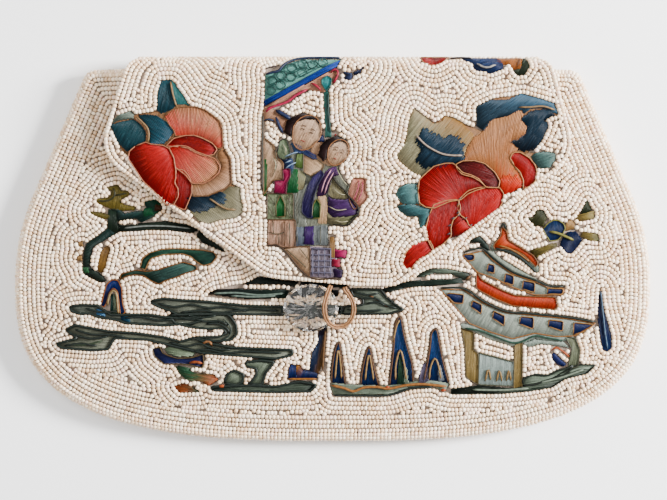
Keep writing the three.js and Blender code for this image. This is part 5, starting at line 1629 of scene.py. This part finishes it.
# Front: rows begin at the seam, roll over the edge and meet the rows that ring the motifs. They stop a little
# way in under the flap, where nobody sees them
hidden_from = 5.0
far_from_flap = 99.0
flap_reach = 12.0
front_field = Field(low, high, body_outline, sewn_on_front)
front_parts, flat_start = rim_parts(front_rim, 1, half_row)
front_field.near(body_outline, True, flat_start - first_row, edge_reach)
covered = Field(low, high, flap_outline, [])
covered.away[:] = far_from_flap
covered.near(flap_outline, True, 0.0, flap_reach)
under_flap = covered.inside & (covered.away > hidden_from)
allowed = front_field.inside & ~under_flap
front_field.away[~front_field.inside] = -1.0
seats, ways = lay_rows(front_field, first_row, allowed)
front_parts.append(seated(on_front, seats, ways))
string_halves("front_beads", "front_beadwork", front_parts, 6, full_bead)
for island in ("pine_tree_beads", "pagoda_hall_beads"):
    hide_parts(island)

# Back: the same beads in rows that run round the edge, and then straight across the middle. They leave room
# for the flap's cloth where it is sewn on
flap_seam_up = 127.6
flap_seam_below_fold = 4.8
flap_seam_margin = 0.6
rows_round_back = 12.5
middle_scatter = 0.05
back_field = Field(low, high, body_outline, [])
fold_left, fold_right = flap_span(fold_top - flap_seam_below_fold)


def clear_of_fold(points):
    across, up = points[:, 0], points[:, 1]
    beside = (across > fold_left - flap_seam_margin) & (across < fold_right + flap_seam_margin)
    return ~((up > flap_seam_up) & beside)


back_parts, flat_start = rim_parts(back_rim, -1, half_row, clear_of_fold)
back_field.near(body_outline, True, flat_start - first_row, edge_reach)
grid_x, grid_y = np.meshgrid(back_field.xs, back_field.ys)
back_field.away[~back_field.inside] = -1.0
open_back = clear_of_fold(np.column_stack([grid_x.ravel(), grid_y.ravel()])).reshape(grid_x.shape)
ringed = rows_round_back * row_pitch
outer = back_field.inside & open_back & (back_field.away < ringed)
seats, ways = lay_rows(back_field, first_row, outer)
across, up = np.meshgrid(np.arange(low[0], high[0], bead_pitch), np.arange(low[1], high[1], row_pitch))
middle_rows = np.column_stack([across.ravel(), up.ravel()])
middle_rows = middle_rows[back_field.away[back_field.at(middle_rows)] > ringed + feel]
middle_rows = middle_rows + beads.normal(0, middle_scatter, middle_rows.shape)
seats = np.vstack([seats, middle_rows])
ways = np.vstack([ways, np.tile((1.0, 0.0), (len(middle_rows), 1))])
seat_middle, seat_thread, seat_out = seated(on_back, seats, ways)
back_parts.append((seat_middle, seat_thread, -seat_out))
string_halves("back_beads", "back_beadwork", back_parts, 5, plain_bead)

# Flap: rows follow its cut edge and ring its flowers and figures, and run on over the fold to the back
flap_steps = 160
flap_tip_margin = 0.3
flap_top_margin = 0.1
flap_top_bare = 0.8
ups = np.linspace(flap_outline[:, 1].min() + flap_tip_margin, flap_top, flap_steps)


def flap_edges(edge=0.0):
    """Left and right edges of the flat flap, each from the tip up."""
    left, right = np.array([charted_span(up, edge) for up in ups]).T
    return np.column_stack([left, ups]), np.column_stack([right, ups])


flap_left, flap_right = flap_edges()
flap_loop = np.vstack([flap_left[::-1], flap_right])
flap_field = Field((flap_loop[:, 0].min() - margin, ups[0] - margin),
                   (flap_loop[:, 0].max() + margin, flap_top + flap_top_margin), flap_loop, sewn_on_flap)
flap_field.near(flap_loop, False, 0.0, edge_reach)
flap_field.away[~flap_field.inside] = -1.0
border_left, border_right = flap_edges(half_row)
low_end = ups > ups[0] + half_row
flap_border = np.vstack([border_left[low_end][::-1], border_right[low_end]])
flap_border = flap_border[flap_border[:, 1] < flap_top - flap_top_bare]
below_top = (flap_field.ys < flap_top - flap_top_bare)[:, None]
seats, ways = lay_rows(flap_field, half_row, flap_field.inside & below_top, flap_border)
flap_parts = [seated(on_flap, seats, ways)]
string_beads("flap_beads", "flap_beadwork", flap_parts, 6, full_bead)

# Glass button: an oval of clear lead glass, sewn to the front. Narrow facets run from its edge to a blunt
# point on top, cut high and low in turn, and its underside is cut with a shallow star.
button_width = 19.6
button_height = 16.8
button_across = -7.6
button_up = 48.4
button_thickness = 4.4
button_seat = 14.5
button_sides = 20
low_cut = 0.72
star_rise = 0.9
shoulder_level = 3
glass_rings = [(0.86, 0.0), (1.0, 0.20), (1.0, 0.34), (0.58, 0.80), (0.20, 1.0)]

facet_points = []
for level, (reach, rise) in enumerate(glass_rings):
    turn = turns_of(button_sides)
    cut = np.where(np.arange(button_sides) % 2 == 0, 1.0, low_cut if level == shoulder_level else 1.0)
    facet_points.append(np.column_stack([
        button_across + reach * np.cos(turn) * button_width / 2,
        button_up + reach * np.sin(turn) * button_height / 2,
        button_seat + rise * cut * button_thickness]))
facet_points.append(np.array([[button_across, button_up, button_seat + button_thickness],
                              [button_across, button_up, button_seat + star_rise]]))
facets = []
side = np.arange(button_sides)
for here, nxt in zip(side.tolist(), np.roll(side, -1).tolist()):
    for level in range(len(glass_rings) - 1):
        low_ring, high_ring = level * button_sides, (level + 1) * button_sides
        facets.append((low_ring + here, low_ring + nxt, high_ring + nxt))
        facets.append((low_ring + here, high_ring + nxt, high_ring + here))
    top_ring = (len(glass_rings) - 1) * button_sides
    facets.append((top_ring + here, top_ring + nxt, len(glass_rings) * button_sides))
    facets.append((nxt, here, len(glass_rings) * button_sides + 1))
glass_button = mesh_object("cut_glass_button", np.vstack(facet_points), [], facets)
glass_button.data.shade_flat()

# Lead glass: clear with a faint warm tint, it shows dark and bright facets as it bends the light. Worn
# patches some 10 mm across are a little duller
lead_glass = new_material("cut_lead_glass")
worn_patches_per_mm = 0.09
glass_tint = add_node(lead_glass, "ShaderNodeTexCoord")
seeds = add_node(lead_glass, "ShaderNodeTexNoise", {
    "Vector": glass_tint.outputs["Object"], "Scale": worn_patches_per_mm / MM, "Detail": 2.0})
tint = add_node(lead_glass, "ShaderNodeValToRGB", {"Fac": seeds.outputs["Fac"]})
tint.color_ramp.elements[0].color = rgba("#efece8")
tint.color_ramp.elements[1].color = rgba("#fbf9f6")
worn = add_node(lead_glass, "ShaderNodeMapRange", {
    "Value": seeds.outputs["Fac"], "From Min": 0.45, "From Max": 0.75, "To Min": 0.0, "To Max": 0.04})
add_node(lead_glass, "ShaderNodeBsdfPrincipled", {
    "Base Color": tint.outputs["Color"], "Roughness": worn.outputs["Result"], "IOR": 1.56,
    "Transmission Weight": 1.0})
glass_button.data.materials.append(lead_glass)
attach(glass_button, "root")
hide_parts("glass_button")

# Loop: two fine cords of tan cotton that lie side by side. Both ends are sewn under the flap's lowest edge,
# and it lies over the glass.
ply_shift = 0.40
ply_half_width = 0.45
ply_half_height = 0.72
twist_swell = 0.05
twist_step = 0.9
ply_phase = 2.0
loop_start = (-0.7, 56.0, 16.2)
loop_route = np.array([
    loop_start, (-1.3, 54.6, 17.5), (-2.2, 52.0, 19.1), (-2.8, 49.2, 19.7), (-2.6, 46.2, 19.5),
    (-1.6, 43.6, 18.2), (0.2, 42.0, 16.7), (2.4, 41.6, 15.4), (4.8, 42.4, 15.2), (6.6, 44.4, 15.2),
    (7.5, 47.2, 15.2), (7.2, 50.2, 15.3), (5.8, 53.0, 15.5), (4.6, 54.6, 15.9), (4.2, 55.7, 16.2)])
loop_line = smoothed(loop_route, 0.35)
loop_way = unit(np.gradient(loop_line, axis=0))
loop_side = unit(np.cross(loop_way, (0.0, 0.0, 1.0)))
loop_rise = np.cross(loop_side, loop_way)
ply_sides = 10
ply_turns = turns_of(ply_sides)
ply_points, ply_quads, ply_caps = [], [], []
for ply, shift in enumerate((-ply_shift, ply_shift)):
    wave = twist_swell * np.sin(np.arange(len(loop_line)) * twist_step + ply * ply_phase)
    strand_middle = loop_line + loop_side * shift
    wide = (ply_half_width * np.cos(ply_turns))[None, :, None]
    tall = (np.sin(ply_turns)[None] * (ply_half_height + wave[:, None]))[..., None]
    rings = strand_middle[:, None] + loop_side[:, None] * wide + loop_rise[:, None] * tall
    made, faces = lofted(rings)
    offset = ply * len(made)
    ply_points.append(made)
    ply_quads.append(faces + offset)
    ply_caps += end_caps(offset, offset + len(made) - ply_sides, ply_sides)
loop_cord = mesh_object("loop_cord", np.vstack(ply_points), np.vstack(ply_quads), ply_caps)

# Mercerised cotton: fine twisted fibres with a low lustre, in light and dark patches. The fibres are drawn
# coarser than real, so that they show
cotton_cord = new_material("twisted_tan_cotton")
fibres_per_mm = 1.5
cord_place = add_node(cotton_cord, "ShaderNodeTexCoord")
fibres = add_node(cotton_cord, "ShaderNodeTexNoise", {
    "Vector": cord_place.outputs["Object"], "Scale": fibres_per_mm / MM, "Detail": 3.0})
fibre_tone = add_node(cotton_cord, "ShaderNodeValToRGB", {"Fac": fibres.outputs["Fac"]})
fibre_tone.color_ramp.elements[0].position = 0.35
fibre_tone.color_ramp.elements[0].color = (*dyed("#a87f5c"), 1.0)
fibre_tone.color_ramp.elements[1].position = 0.68
fibre_tone.color_ramp.elements[1].color = (*dyed("#dcb692"), 1.0)
fibre_bump = add_node(cotton_cord, "ShaderNodeBump", {"Height": fibres.outputs["Fac"], "Strength": 0.5,
                                                      "Distance": 0.0001})
add_node(cotton_cord, "ShaderNodeBsdfPrincipled", {
    "Base Color": fibre_tone.outputs["Color"], "Roughness": 0.55, "Specular IOR Level": 0.2,
    "Normal": fibre_bump.outputs["Normal"]})
loop_cord.data.materials.append(cotton_cord)
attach(loop_cord, "root")
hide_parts("button_loop")
loop_path = to_frame(loop_line)
tuple(to_frame(loop_start))
